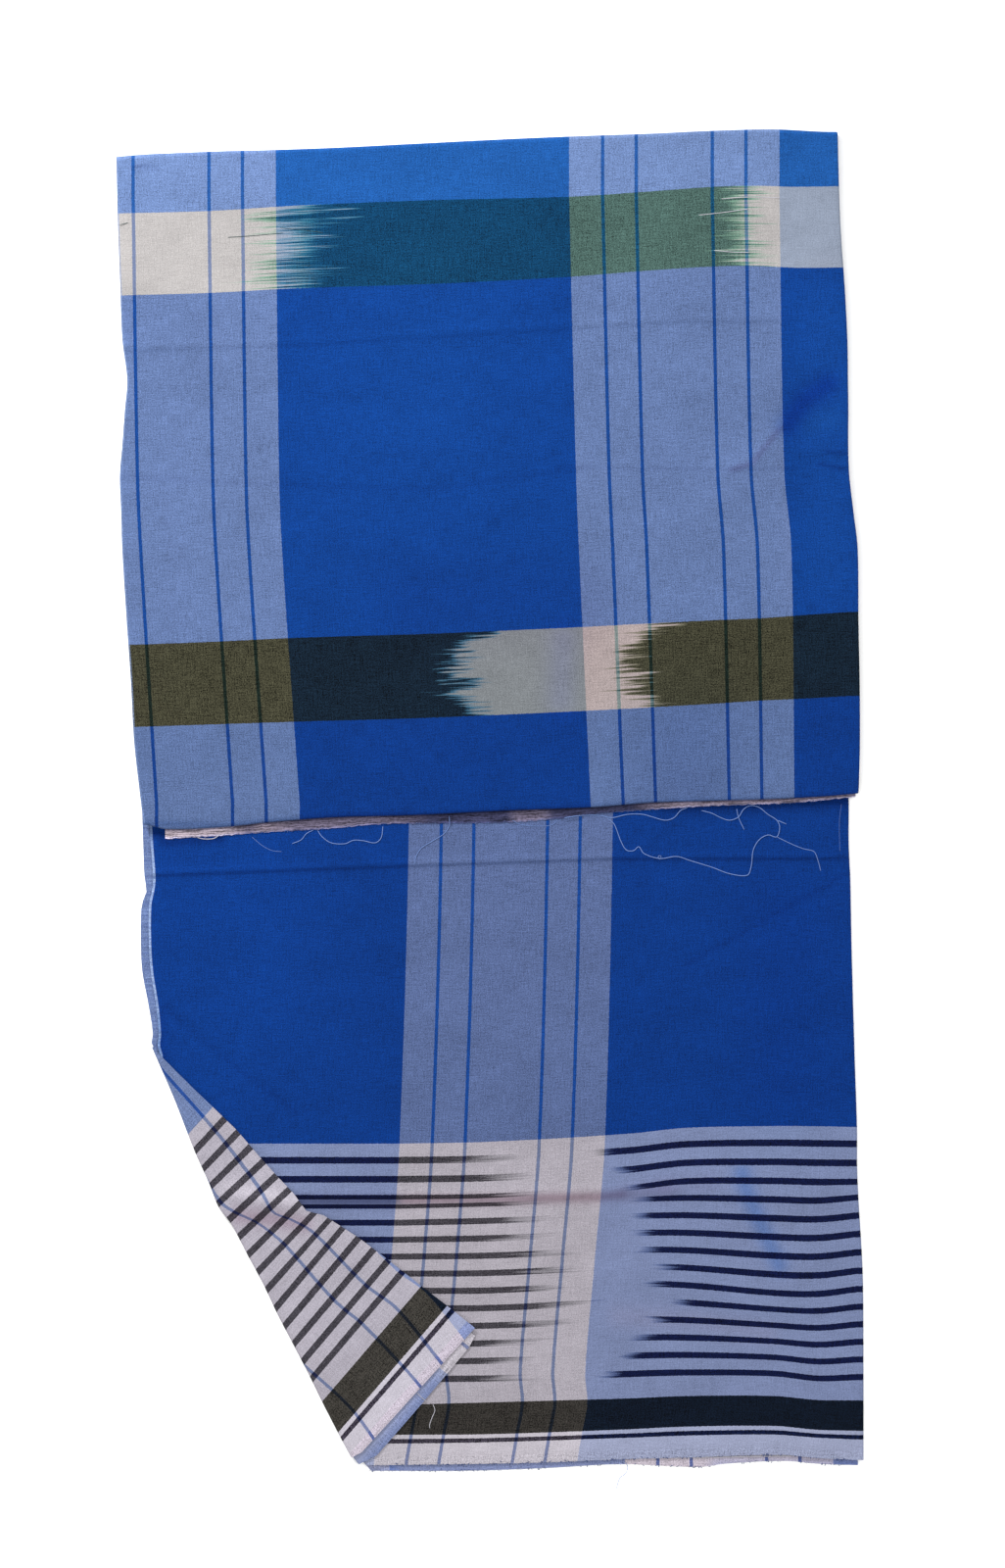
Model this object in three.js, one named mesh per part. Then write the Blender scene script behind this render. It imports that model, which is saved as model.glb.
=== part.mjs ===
import * as THREE from 'three';

// A cotton lungi: one rectangle of cloth, folded in half along its length, doubled over at the
// top and laid flat, with the lower left corner of both layers turned up.
// Millimetres. +X runs across the cloth to the lengthwise fold, +Y along it to the top fold,
// +Z up from the surface that it rests on. The origin is under the middle of its outline.

// Driving dimensions
const wall = 1.2; // one layer of cloth
const gap = 0.3; // air between layers that lie on each other
const layer = wall + gap;
const hiddenHeight = 3; // the turned-in layers, pressed together
const frontTop = 2 * layer - gap;
const hiddenBottom = 2 * layer;
const hiddenTop = hiddenBottom + hiddenHeight;
const upperTop = hiddenTop + gap + wall;
const topFoldRadius = upperTop / 2; // the whole stack turns over at the top
const sideFoldRadius = frontTop / 2; // two layers meet along the lengthwise fold
const upperFoldRadius = (upperTop - 3 * layer) / 2; // the upper panel's own side and lower folds
const foldReturn = 3; // how far the underside of a fold runs back
const cutClearance = 0.2; // extra room where a panel follows the bowed diagonal fold
const hiddenInset = 6; // room between the hidden solid and the underside of the lower fold
const underReach = 30; // how far the end strip runs in below the upper panel

// Outer edges of the upper panel, by place along the cloth
const upperSides = [
  { at: -22, left: -293, right: 312 },
  { at: 5, left: -296.3, right: 312.6 },
  { at: 50, left: -301.3, right: 313.6 },
  { at: 100, left: -304, right: 313.4 },
  { at: 150, left: -307.5, right: 312.4 },
  { at: 213, left: -311.4, right: 311.7 },
  { at: 246, left: -312.4, right: 307.9 },
  { at: 275, left: -313.4, right: 304.6 },
  { at: 300, left: -311.4, right: 303.7 },
  { at: 330, left: -309.2, right: 303.8 },
  { at: 356, left: -307.2, right: 303.5 },
  { at: 390, left: -311.3, right: 303 },
  { at: 430, left: -313, right: 301 },
  { at: 487, left: -315.2, right: 297.1 },
  { at: 545, left: -316.4, right: 295.2 },
  { at: 570, left: -317, right: 294.8 },
];

// Lower fold and top fold of the upper panel, by place across the cloth
const upperEnds = [
  { at: -317, lower: -19, top: 544.9 },
  { at: -293, lower: -20.5, top: 546.9 },
  { at: -274, lower: -24.5, top: 547.8 },
  { at: -226, lower: -22.8, top: 549.7 },
  { at: -187, lower: -18.7, top: 550.6 },
  { at: -131, lower: -14.5, top: 552.6 },
  { at: -71, lower: -12.9, top: 555.6 },
  { at: 17, lower: -8.7, top: 560 },
  { at: 85, lower: -6.1, top: 562.8 },
  { at: 137, lower: -2.1, top: 564.6 },
  { at: 186, lower: -0.6, top: 566.9 },
  { at: 240, lower: 1, top: 568.2 },
  { at: 286, lower: 3.4, top: 566.1 },
  { at: 314, lower: 5.9, top: 566.8 },
];

// Free edge of the frayed end that shows below the upper panel
const underEnd = [
  { at: -275, edge: -32.8 },
  { at: -226, edge: -29.9 },
  { at: -187, edge: -27 },
  { at: -131, edge: -23.7 },
  { at: -94, edge: -20.3 },
  { at: -35, edge: -19.5 },
  { at: 17, edge: -18.7 },
  { at: 59, edge: -15.4 },
  { at: 85, edge: -12 },
  { at: 137, edge: -7.9 },
  { at: 194, edge: -4.6 },
  { at: 254, edge: -2.4 },
  { at: 310, edge: 2.7 },
];

// Selvedges of the back and front layers and their shared fold, by place along the cloth
const baseSides = [
  { at: -562, back: -286, front: -279, fold: 316.7 },
  { at: -484, back: -286, front: -279, fold: 316.7 },
  { at: -401, back: -286, front: -279, fold: 316 },
  { at: -337, back: -286, front: -279, fold: 312.4 },
  { at: -310, back: -286, front: -279, fold: 311.3 },
  { at: -277, back: -286, front: -279, fold: 311.2 },
  { at: -217, back: -286, front: -279.1, fold: 309.2 },
  { at: -198, back: -285, front: -280.6, fold: 308.7 },
  { at: -173, back: -289.3, front: -282.9, fold: 307.9 },
  { at: -146, back: -294.4, front: -287.2, fold: 307.2 },
  { at: -123, back: -295.7, front: -288.9, fold: 306.6 },
  { at: -89, back: -295.1, front: -288.8, fold: 306 },
  { at: -77, back: -290.9, front: -286.4, fold: 305.8 },
  { at: -66, back: -292.6, front: -285.3, fold: 305.5 },
  { at: -36, back: -293.8, front: -287.4, fold: 304.2 },
  { at: 0, back: -295, front: -289, fold: 304.2 },
  { at: 560, back: -314, front: -309, fold: 291 },
];

// Cut ends of the back and front layers, by place across the cloth
const baseEnds = [
  { at: -108, back: -568.1, front: -563.4 },
  { at: -16, back: -567.9, front: -562.3 },
  { at: 50, back: -565.6, front: -560.8 },
  { at: 110, back: -562.5, front: -558.4 },
  { at: 178, back: -564.8, front: -556.5 },
  { at: 200, back: -562, front: -555.6 },
  { at: 249, back: -559.8, front: -554.6 },
  { at: 280, back: -562.2, front: -557.5 },
  { at: 316, back: -563.4, front: -559 },
];

// The turned-up corner. Its fold runs from foldStart to foldEnd, bowed outwards by bow, and its
// two layers reach back and front from that line.
const foldStart = new THREE.Vector2(-286.6, -208.7);
const foldEnd = new THREE.Vector2(-107.5, -568.1);
const turnedCorner = [
  { at: 0, bow: 0, back: 0 },
  { at: 48, bow: 2.5, back: 16.2 },
  { at: 95, bow: 6.8, back: 33 },
  { at: 125, bow: 8, back: 40.6 },
  { at: 146, bow: 9.8, back: 46.5 },
  { at: 165, bow: 6.6, back: 52.4 },
  { at: 183, bow: 6, back: 55.4 },
  { at: 193, bow: 5.9, back: 66.9 },
  { at: 222, bow: 5, back: 84.4 },
  { at: 250, bow: 5.6, back: 98.5 },
  { at: 280, bow: 5, back: 112.6 },
  { at: 311, bow: 4.6, back: 127.7 },
  { at: 335.5, bow: 4.8, back: 139.1 },
  { at: 389, bow: 3.4, back: 0.8 },
  { at: 401.5, bow: 0, back: 0 },
];
const frontTurned = [
  { at: 0, reach: 0 },
  { at: 48, reach: 11.5 },
  { at: 146, reach: 41.5 },
  { at: 183, reach: 50.4 },
  { at: 250, reach: 93 },
  { at: 341.4, reach: 136.1 },
  { at: 348, reach: 127.2 },
  { at: 372.5, reach: 71.1 },
  { at: 397.5, reach: 10.5 },
  { at: 401.5, reach: 0 },
];
const turnStart = 8; // where the turned layers are first wide enough to stand as walls
const backTurnEnd = 387;
const frontTurnEnd = 395;

// Raised creases: a line from start to end, its half width and its height
const frontCreases = [
  { start: [-141, -337], end: [158, -337], width: 8, height: 1.3 },
  { start: [-285, -62], end: [-70, -53], width: 7, height: 0.7 },
  { start: [-70, -53], end: [304, -47], width: 7, height: 0.6 },
  { start: [250, -375], end: [262, -480], width: 22, height: 0.8 },
];
const upperCreases = [
  { start: [-315, 384], end: [75, 401], width: 7, height: 0.7 },
  { start: [75, 401], end: [255, 406], width: 7, height: 0.6 },
  { start: [262, 297], end: [302, 293], width: 9, height: 0.9 },
];
const cornerCrease = { at: 141, lean: 0.68, width: 10, height: 1 };

// Reads a column of a table as a smooth curve through its rows.
function curve(rows, column) {
  const slope = (i) => {
    const before = rows[Math.max(i - 1, 0)];
    const after = rows[Math.min(i + 1, rows.length - 1)];
    return (after[column] - before[column]) / (after.at - before.at);
  };
  return (at) => {
    const clamped = Math.min(Math.max(at, rows[0].at), rows[rows.length - 1].at);
    let i = 0;
    while (i < rows.length - 2 && clamped > rows[i + 1].at) i += 1;
    const span = rows[i + 1].at - rows[i].at;
    const t = (clamped - rows[i].at) / span;
    const rise = rows[i + 1][column] - rows[i][column];
    const pull = slope(i) * span - rise;
    const push = rise - slope(i + 1) * span;
    return rows[i][column] + rise * t + t * (1 - t) * ((1 - t) * pull + t * push);
  };
}

// Reads a column of a table as straight stretches, for outlines with true corners.
function straight(rows, column) {
  return (at) => {
    let i = 0;
    while (i < rows.length - 2 && at > rows[i + 1].at) i += 1;
    const t = THREE.MathUtils.clamp((at - rows[i].at) / (rows[i + 1].at - rows[i].at), 0, 1);
    return THREE.MathUtils.lerp(rows[i][column], rows[i + 1][column], t);
  };
}

const upperLeft = curve(upperSides, 'left');
const upperRight = curve(upperSides, 'right');
const lowerFold = curve(upperEnds, 'lower');
const topFold = curve(upperEnds, 'top');
const underEdge = curve(underEnd, 'edge');
const backLeft = curve(baseSides, 'back');
const frontLeft = curve(baseSides, 'front');
const lengthFold = curve(baseSides, 'fold');
const backCut = curve(baseEnds, 'back');
const frontCut = curve(baseEnds, 'front');
const cornerBow = curve(turnedCorner, 'bow');
const backReach = straight(turnedCorner, 'back');
const frontReach = straight(frontTurned, 'reach');

const cornerAlong = foldEnd.clone().sub(foldStart).normalize();
const cornerAcross = new THREE.Vector2(-cornerAlong.y, cornerAlong.x);

// Where a point lies beside the diagonal fold: how far along it and how far in from it.
function besideFold(x, y) {
  const from = new THREE.Vector2(x, y).sub(foldStart);
  return { along: from.dot(cornerAlong), across: from.dot(cornerAcross) };
}

// The left edge of a base layer: its selvedge, or the diagonal once the corner is cut away.
function baseLeft(selvedge, y) {
  const cornerRoom = 2 * layer - gap / 2 + foldReturn + gap + cutClearance;
  const along = (y - foldStart.y) / cornerAlong.y;
  const room = cornerRoom - cornerBow(along);
  const diagonal = foldStart.x + along * cornerAlong.x + room / cornerAcross.x;
  return Math.max(selvedge(y), diagonal);
}

// A height that rises to a crease and dies away at its sides and ends.
function creaseHeight(crease, x, y) {
  const start = new THREE.Vector2(...crease.start);
  const run = new THREE.Vector2(...crease.end).sub(start);
  const from = new THREE.Vector2(x, y).sub(start);
  const t = THREE.MathUtils.clamp(from.dot(run) / run.lengthSq(), 0, 1);
  const distance = from.sub(run.multiplyScalar(t)).length();
  return crease.height * Math.exp(-((distance / crease.width) ** 2));
}

function creases(list, x, y) {
  return list.reduce((height, crease) => Math.max(height, creaseHeight(crease, x, y)), 0);
}

// Lift of the front layer, flat again below the upper panel, the turned corner and the fold.
function frontLift(x, y) {
  const { smoothstep } = THREE.MathUtils;
  const { along, across } = besideFold(x, y);
  const offCorner = smoothstep(across - frontReach(Math.max(along, 0)), 8, 20);
  const offUpper = smoothstep(underEdge(x) - y, 3, 16);
  const offFold = smoothstep(lengthFold(y) - x, sideFoldRadius, 16);
  return creases(frontCreases, x, y) * offCorner * offUpper * offFold;
}

function upperLift(x, y) {
  const { smoothstep } = THREE.MathUtils;
  const offFold = smoothstep(upperRight(y) - x, upperFoldRadius, 14);
  return creases(upperCreases, x, y) * offFold;
}

function cornerLift(along, across) {
  const { at, lean, width, height } = cornerCrease;
  const distance = along - at - lean * across;
  return height * Math.exp(-((distance / width) ** 2)) * THREE.MathUtils.smoothstep(across, 0, 8);
}

// Joins a row of like cross-sections into one closed body. Each section is a list of [a, b]
// pairs, and place gives the point of pair a, b in section number i.
function sweep(sections, place) {
  const count = sections[0].length;
  const positions = sections.flatMap((section, i) =>
    section.flatMap(([a, b]) => place(i, a, b).toArray()),
  );
  const faces = [];
  for (let i = 0; i + 1 < sections.length; i += 1) {
    for (let j = 0; j < count; j += 1) {
      const next = (j + 1) % count;
      const here = i * count;
      const there = here + count;
      faces.push(here + j, there + j, there + next, here + j, there + next, here + next);
    }
  }
  const cap = (section) =>
    THREE.ShapeUtils.triangulateShape(section.map(([a, b]) => new THREE.Vector2(a, b)), []);
  const windsLeft = (section) => !THREE.ShapeUtils.isClockWise(
    section.map(([a, b]) => new THREE.Vector2(a, b)),
  );
  const last = sections.length - 1;
  const addCap = (section, offset, ahead) => {
    const turned = windsLeft(section) === ahead;
    for (const [a, b, c] of cap(section)) {
      faces.push(offset + a, offset + (turned ? c : b), offset + (turned ? b : c));
    }
  };
  addCap(sections[0], 0, false);
  addCap(sections[last], last * count, true);
  const geometry = new THREE.BufferGeometry();
  geometry.setAttribute('position', new THREE.Float32BufferAttribute(positions, 3));
  geometry.setIndex(signedVolume(positions, faces) < 0 ? faces.reverse() : faces);
  geometry.computeVertexNormals();
  return geometry;
}

function signedVolume(positions, faces) {
  const corner = (i) => new THREE.Vector3().fromArray(positions, 3 * i);
  let volume = 0;
  for (let i = 0; i < faces.length; i += 3) {
    volume += corner(faces[i]).dot(corner(faces[i + 1]).cross(corner(faces[i + 2])));
  }
  return volume / 6;
}

// Cross-section of a panel with a plain left edge and a right edge that curls down and back in
// as a fold: pairs of place across and depth below the outer face.
function foldedSection({ left, right, radius, curl, back }) {
  const acrossSteps = 14;
  const innerSteps = 7;
  const curlSteps = 6;
  const start = right - radius;
  const arc = (r, angle) => [start + r * Math.sin(angle), radius - r * Math.cos(angle)];
  const tail = (r) => {
    const [across, depth] = arc(r, curl);
    return [across + back * Math.cos(curl), depth + back * Math.sin(curl)];
  };
  const flat = (steps, depth) => Array.from({ length: steps + 1 }, (_, i) => [
    THREE.MathUtils.lerp(left, start, i / steps),
    depth,
  ]);
  const turn = (r) => Array.from({ length: curlSteps }, (_, i) =>
    arc(r, (curl * (i + 1)) / curlSteps));
  const outer = [...flat(acrossSteps, 0), ...turn(radius), tail(radius)];
  const inner = [...flat(innerSteps, wall), ...turn(radius - wall), tail(radius - wall)];
  return [...outer, ...inner.reverse()];
}

// The place across at which a side curve meets a row whose place along depends on it.
function meet(side, alongAt, guess) {
  let x = guess;
  for (let i = 0; i < 4; i += 1) x = side(alongAt(x));
  return x;
}

// Both base layers are measured in rows, from the cut end up to just inside the top fold.
const baseRows = [
  -560, -530, -500, -470, -440, -410, -385, -360, -347, -337, -327, -314, -290, -260, -235,
  -217, -205, -194, -180, -160, -140, -115, -95, -84, -77, -70, -60, -52, -44, -30, 0, 200,
  380, 551,
];

function baseAlong(row) {
  const [first, last] = [baseRows[0], baseRows[baseRows.length - 1]];
  const endRoom = topFoldRadius + foldReturn + gap;
  const t = (row - first) / (last - first);
  return (x) => THREE.MathUtils.lerp(frontCut(x), topFold(x) - endRoom, t);
}

// The back layer lies flat on the surface, under all the rest.
function backLayer() {
  const cutSteps = 12;
  const foldRoom = sideFoldRadius + foldReturn + gap;
  const leftEdge = (y) => baseLeft(backLeft, y);
  const sidePoint = (side, guess) => (row) => {
    const x = meet(side, baseAlong(row), guess);
    return [x, baseAlong(row)(x)];
  };
  const right = baseRows.map(sidePoint(lengthFold, 310)).map(([x, y]) => [x - foldRoom, y]);
  const left = baseRows.map(sidePoint(leftEdge, -200));
  const cutLeft = meet(leftEdge, backCut, -105);
  const cutRight = right[0][0];
  const cut = Array.from({ length: cutSteps + 1 }, (_, i) => {
    const x = THREE.MathUtils.lerp(cutLeft, cutRight, i / cutSteps);
    return [x, backCut(x)];
  });
  const outline = [...cut, ...right, ...left.reverse()];
  const shape = new THREE.Shape(outline.map(([x, y]) => new THREE.Vector2(x, y)));
  return new THREE.ExtrudeGeometry(shape, { depth: wall, bevelEnabled: false });
}

// The front layer lies on the back one and turns down round its right edge.
function frontLayer() {
  const sections = baseRows.map((row) => foldedSection({
    left: meet((y) => baseLeft(frontLeft, y), baseAlong(row), -200),
    right: meet(lengthFold, baseAlong(row), 310),
    radius: sideFoldRadius,
    curl: Math.PI,
    back: foldReturn,
  }));
  return sweep(sections, (i, x, depth) => {
    const y = baseAlong(baseRows[i])(x);
    const flatPart = depth < wall + gap / 4;
    const lift = flatPart ? frontLift(x, y) : 0;
    return new THREE.Vector3(x, y, frontTop + lift - depth);
  });
}

// The upper panel is measured in rows, from its lower fold to the top fold.
const upperRows = [
  -7, 8, 30, 60, 95, 130, 170, 205, 235, 258, 275, 288, 300, 315, 335, 356, 372, 384, 393, 402,
  412, 428, 460, 500, 535, 556,
];
const lowerLine = (x) => lowerFold(x) + upperFoldRadius;
const topLine = (x) => topFold(x) - topFoldRadius;

function upperAlong(row) {
  const [first, last] = [upperRows[0], upperRows[upperRows.length - 1]];
  const t = (row - first) / (last - first);
  return (x) => THREE.MathUtils.lerp(lowerLine(x), topLine(x), t);
}

// The turned-in layers under the upper panel: one solid whose sides show three layers.
function hiddenLayers() {
  const layersIn = [
    { left: 2.6, right: upperFoldRadius },
    { left: 1.2, right: upperFoldRadius + foldReturn + 2 * gap },
    { left: 2, right: upperFoldRadius + foldReturn + gap },
  ];
  const lip = [[0.12, 0.4], [0.5, 0], [0.88, 0.4]]; // a layer's rounded edge
  const groove = 1.2;
  const faceSteps = 10;
  const side = (key) => layersIn.flatMap((row, k) => {
    const edge = lip.map(([height, inward]) => [k + height, row[key] + inward]);
    const above = layersIn[k + 1];
    return above ? [...edge, [k + 1, Math.max(row[key], above[key]) + groove]] : edge;
  });
  const frontRoom = foldReturn + hiddenInset;
  const stepRoom = underReach - upperFoldRadius + 1;
  const low = { bottom: hiddenBottom, leastIn: 0 };
  // The first stretch rises over the frayed end, between the underside of the panel's side fold.
  const high = { bottom: 3 * layer, leastIn: upperFoldRadius + foldReturn + gap };
  const fromLower = (room) => (x) => lowerLine(x) + room;
  const fromTop = (room) => (x) => topLine(x) - room;
  const stations = [
    { along: fromLower(frontRoom), squeeze: 0.4, ...high },
    { along: fromLower(frontRoom + 0.8), squeeze: 0, ...high },
    { along: fromLower(stepRoom), squeeze: 0, ...high },
    { along: fromLower(stepRoom + 1), squeeze: 0, ...low },
    ...upperRows.slice(3, -1).map((row) => ({ along: upperAlong(row), squeeze: 0, ...low })),
    { along: fromTop(foldReturn + gap + 0.8), squeeze: 0, ...low },
    { along: fromTop(foldReturn + gap), squeeze: 0.6, ...low },
  ];
  const sections = stations.map((station) => {
    const left = meet(upperLeft, station.along, -305);
    const right = meet(upperRight, station.along, 305);
    const face = (level) => Array.from({ length: faceSteps - 1 }, (_, i) =>
      [THREE.MathUtils.lerp(left, right, (i + 1) / faceSteps), level]);
    return [
      ...side('left').map(([level, inward]) => [left + inward, level]),
      ...face(layersIn.length),
      ...side('right').map(([level, inward]) =>
        [right - Math.max(inward, station.leastIn), level]).reverse(),
      ...face(0).reverse(),
    ];
  });
  return sweep(sections, (i, x, level) => {
    const { along, bottom, squeeze } = stations[i];
    const share = level / layersIn.length;
    const z = THREE.MathUtils.lerp(bottom + squeeze, hiddenTop - squeeze, share);
    return new THREE.Vector3(x, along(x), z);
  });
}

// The frayed end of the cloth, between the front layer and the upper panel.
function endStrip() {
  const steps = 24;
  const [first, last] = [underEnd[0].at, underEnd[underEnd.length - 1].at];
  const stations = Array.from({ length: steps + 1 }, (_, i) =>
    THREE.MathUtils.lerp(first, last, i / steps));
  const section = [[0, hiddenBottom], [1, hiddenBottom], [1, hiddenBottom + wall],
    [0, hiddenBottom + wall]];
  return sweep(stations.map(() => section), (i, t, z) => {
    const x = stations[i];
    const y = THREE.MathUtils.lerp(underEdge(x), lowerFold(x) + underReach, t);
    return new THREE.Vector3(x, y, z);
  });
}

// The upper panel: from the fold over the lower end, up the top face and round the top fold to
// the surface below, with its right edge folded down and in.
function upperPanel() {
  const lower = {
    line: lowerLine,
    radius: upperFoldRadius,
    turns: [-180, -144, -108, -72, -36],
  };
  const top = {
    line: topLine,
    radius: topFoldRadius,
    turns: [22.5, 45, 67.5, 90, 112.5, 135, 157.5, 180],
  };
  const onFold = (end, degrees, back = 0) => {
    const turn = THREE.MathUtils.degToRad(degrees);
    return { end, turn, along: (x) => end.line(x) + end.radius * Math.sin(turn) + back };
  };
  const stations = [
    onFold(lower, -180, foldReturn),
    ...lower.turns.map((degrees) => onFold(lower, degrees)),
    ...upperRows.map((row) => ({ turn: 0, along: upperAlong(row) })),
    ...top.turns.map((degrees) => onFold(top, degrees)),
    onFold(top, 180, -foldReturn),
  ];
  const curlFades = 24; // the right edge opens out over this length above the lower fold
  const sections = stations.map(({ end, along }) => {
    const right = meet(upperRight, along, 305);
    const above = along(right) - lowerLine(right);
    const fade = end === lower ? 0 : THREE.MathUtils.smoothstep(above, 0, curlFades);
    return foldedSection({
      left: meet(upperLeft, along, -305),
      right,
      radius: upperFoldRadius,
      curl: THREE.MathUtils.lerp(Math.PI / 3, Math.PI, fade),
      back: foldReturn * fade ** 4,
    });
  });
  return sweep(sections, (i, x, depth) => {
    const { end, turn, along } = stations[i];
    const y = along(x);
    const flatPart = !end && depth < wall + gap / 4;
    const ends = THREE.MathUtils.smoothstep(y - lowerLine(x), 0, 12)
      * THREE.MathUtils.smoothstep(topLine(x) - y, 0, 12);
    const lift = flatPart ? upperLift(x, y) * ends : 0;
    const face = end ? upperTop - end.radius * (1 - Math.cos(turn)) : upperTop + lift;
    return new THREE.Vector3(x, y - depth * Math.sin(turn), face - depth * Math.cos(turn));
  });
}

// One turned-up layer of the corner, from under its diagonal fold to its free edges.
function turnedLayer({ radius, reach, creased, start, end, stops }) {
  const topSteps = 8;
  const innerSteps = 5;
  const foldSteps = 6;
  const middle = 2 * layer - gap / 2; // height of the fold's centre line
  const stations = [start, ...stops, end];
  const sections = stations.map((along) => {
    const axis = middle - cornerBow(along);
    const edge = Math.max(reach(along), axis + 0.8);
    const arc = (r) => Array.from({ length: foldSteps + 1 }, (_, i) => {
      const angle = (Math.PI * i) / foldSteps;
      return [axis - r * Math.sin(angle), middle - r * Math.cos(angle)];
    });
    const flat = (steps, z) => Array.from({ length: steps }, (_, i) =>
      [THREE.MathUtils.lerp(axis, edge, (i + 1) / steps), z]);
    const outer = [[axis + foldReturn, middle - radius], ...arc(radius),
      ...flat(topSteps, middle + radius)];
    const innerRadius = radius - wall;
    const inner = [[axis + foldReturn, middle - innerRadius], ...arc(innerRadius),
      ...flat(innerSteps, middle + innerRadius)];
    return [...outer, ...inner.reverse()];
  });
  return sweep(sections, (i, across, z) => {
    const along = stations[i];
    const lift = z > middle ? creased * cornerLift(along, across) : 0;
    const at = foldStart.clone()
      .addScaledVector(cornerAlong, along)
      .addScaledVector(cornerAcross, across);
    return new THREE.Vector3(at.x, at.y, z + lift);
  });
}

const lungi = new THREE.Group();

function addPiece(name, geometry, color) {
  const material = new THREE.MeshStandardMaterial({ color, roughness: 0.9, metalness: 0 });
  const mesh = new THREE.Mesh(geometry, material);
  mesh.name = name;
  lungi.add(mesh);
}

addPiece('back_layer', backLayer(), 0x7f8fc4);
addPiece('front_layer', frontLayer(), 0x1b4f9f);
addPiece('hidden_layers', hiddenLayers(), 0x3a62a8);
addPiece('under_end', endStrip(), 0xd9d2da);
addPiece('upper_panel', upperPanel(), 0x2458a6);
addPiece('corner_front_turned', turnedLayer({
  radius: sideFoldRadius,
  reach: frontReach,
  creased: 0.6,
  start: turnStart + 5,
  end: frontTurnEnd,
  stops: [30, 60, 95, 120, 135, 146, 158, 170, 183, 200, 225, 255, 290, 325, 341.4, 348, 358,
    372.5, 385],
}), 0xcfc6d2);
addPiece('corner_back_turned', turnedLayer({
  radius: 2 * layer - gap / 2,
  reach: backReach,
  creased: 1,
  start: turnStart,
  end: backTurnEnd,
  stops: [26, 48, 72, 95, 112, 125, 136, 146, 156, 165, 174, 183, 193, 208, 222, 250, 280, 311,
    335.5, 348, 361, 374],
}), 0x8d9acb);

export default lungi;
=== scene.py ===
import math
import random

import bpy
import numpy as np
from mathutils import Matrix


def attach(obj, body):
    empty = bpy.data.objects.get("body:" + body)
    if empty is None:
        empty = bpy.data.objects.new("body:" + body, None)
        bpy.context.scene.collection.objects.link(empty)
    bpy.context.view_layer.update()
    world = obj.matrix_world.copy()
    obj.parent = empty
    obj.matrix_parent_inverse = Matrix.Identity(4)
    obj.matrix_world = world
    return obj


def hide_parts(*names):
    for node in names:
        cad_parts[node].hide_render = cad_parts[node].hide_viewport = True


# A folded cotton lungi on a pale floor. Sizes are in millimetres up to the point where a mesh is
# made: x runs across the cloth, y along it to the top fold, z up from the floor.

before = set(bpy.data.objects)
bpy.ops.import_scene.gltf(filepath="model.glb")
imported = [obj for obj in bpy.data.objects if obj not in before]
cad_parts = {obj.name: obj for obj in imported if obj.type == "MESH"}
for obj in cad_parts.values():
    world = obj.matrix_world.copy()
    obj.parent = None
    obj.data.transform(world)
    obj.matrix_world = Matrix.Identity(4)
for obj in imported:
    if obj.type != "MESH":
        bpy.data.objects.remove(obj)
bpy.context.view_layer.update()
print("frame loaded")

mm = 0.001


def linear(hexColour, gain=1.0):
    channels = [int(hexColour[i:i + 2], 16) / 255 for i in (1, 3, 5)]
    return [gain * (c / 12.92 if c <= 0.04045 else ((c + 0.055) / 1.055) ** 2.4)
            for c in channels] + [1.0]


# Camera, light and floor

studio = {
    "cameraX": 10.8, "cameraY": 13.7, "cameraHeight": 11070, "lens": 300, "sensor": 36,
    "floorSize": 9000, "floorDepth": 0.4, "floorColour": "#fdfdfc", "stippleSize": 50,
    "stippleShade": 0.985,
    "skyColour": "#ffffff", "sky": 1.09,
    "keyPlace": (-1300, 1900, 1150), "keySize": 450, "keyPower": 101,
    "fillPlace": (1300, -900, 2200), "fillSize": 2600, "fillPower": 21,
}

camera = bpy.data.objects.new("camera", bpy.data.cameras.new("camera"))
bpy.context.scene.collection.objects.link(camera)
bpy.context.scene.camera = camera
camera.location = (studio["cameraX"] * mm, studio["cameraY"] * mm, studio["cameraHeight"] * mm)
camera.data.lens = studio["lens"]
camera.data.sensor_width = studio["sensor"]
camera.data.clip_end = 100
bpy.context.scene.view_settings.view_transform = "Standard"


def softLight(name, place, size, power):
    lamp = bpy.data.lights.new(name, "AREA")
    lamp.shape = "SQUARE"
    lamp.size = size * mm
    lamp.energy = power
    light = bpy.data.objects.new(name, lamp)
    bpy.context.scene.collection.objects.link(light)
    light.location = [value * mm for value in place]
    light.rotation_mode = "QUATERNION"
    light.rotation_quaternion = light.location.to_track_quat("Z", "Y")


softLight("keyLight", studio["keyPlace"], studio["keySize"], studio["keyPower"])
softLight("fillLight", studio["fillPlace"], studio["fillSize"], studio["fillPower"])
world = bpy.data.worlds.new("studio")
bpy.context.scene.world = world
world.use_nodes = True
sky = world.node_tree.nodes["Background"]
sky.inputs["Color"].default_value = linear(studio["skyColour"])
sky.inputs["Strength"].default_value = studio["sky"]


def addNode(tree, kind, inputs, **settings):
    # An input is a plain value, an output, or a node, of which the first open output is linked
    node = tree.nodes.new("ShaderNode" + kind)
    for key, value in settings.items():
        setattr(node, key, value)
    for key, value in inputs.items():
        if isinstance(value, bpy.types.Node):
            value = next(output for output in value.outputs if output.enabled)
        if isinstance(value, bpy.types.NodeSocket):
            tree.links.new(value, node.inputs[key])
        else:
            node.inputs[key].default_value = value
    return node


def newMaterial(name, **surface):
    material = bpy.data.materials.new(name)
    material.use_nodes = True
    shader = material.node_tree.nodes["Principled BSDF"]
    for socket, value in surface.items():
        shader.inputs[socket.replace("_", " ")].default_value = value
    return material, material.node_tree, shader


def fillRamp(ramp, stops):
    elements = ramp.color_ramp.elements
    while len(elements) < len(stops):
        elements.new(1.0)
    for element, (position, colour) in zip(elements, stops):
        element.position = position
        element.color = colour


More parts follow.
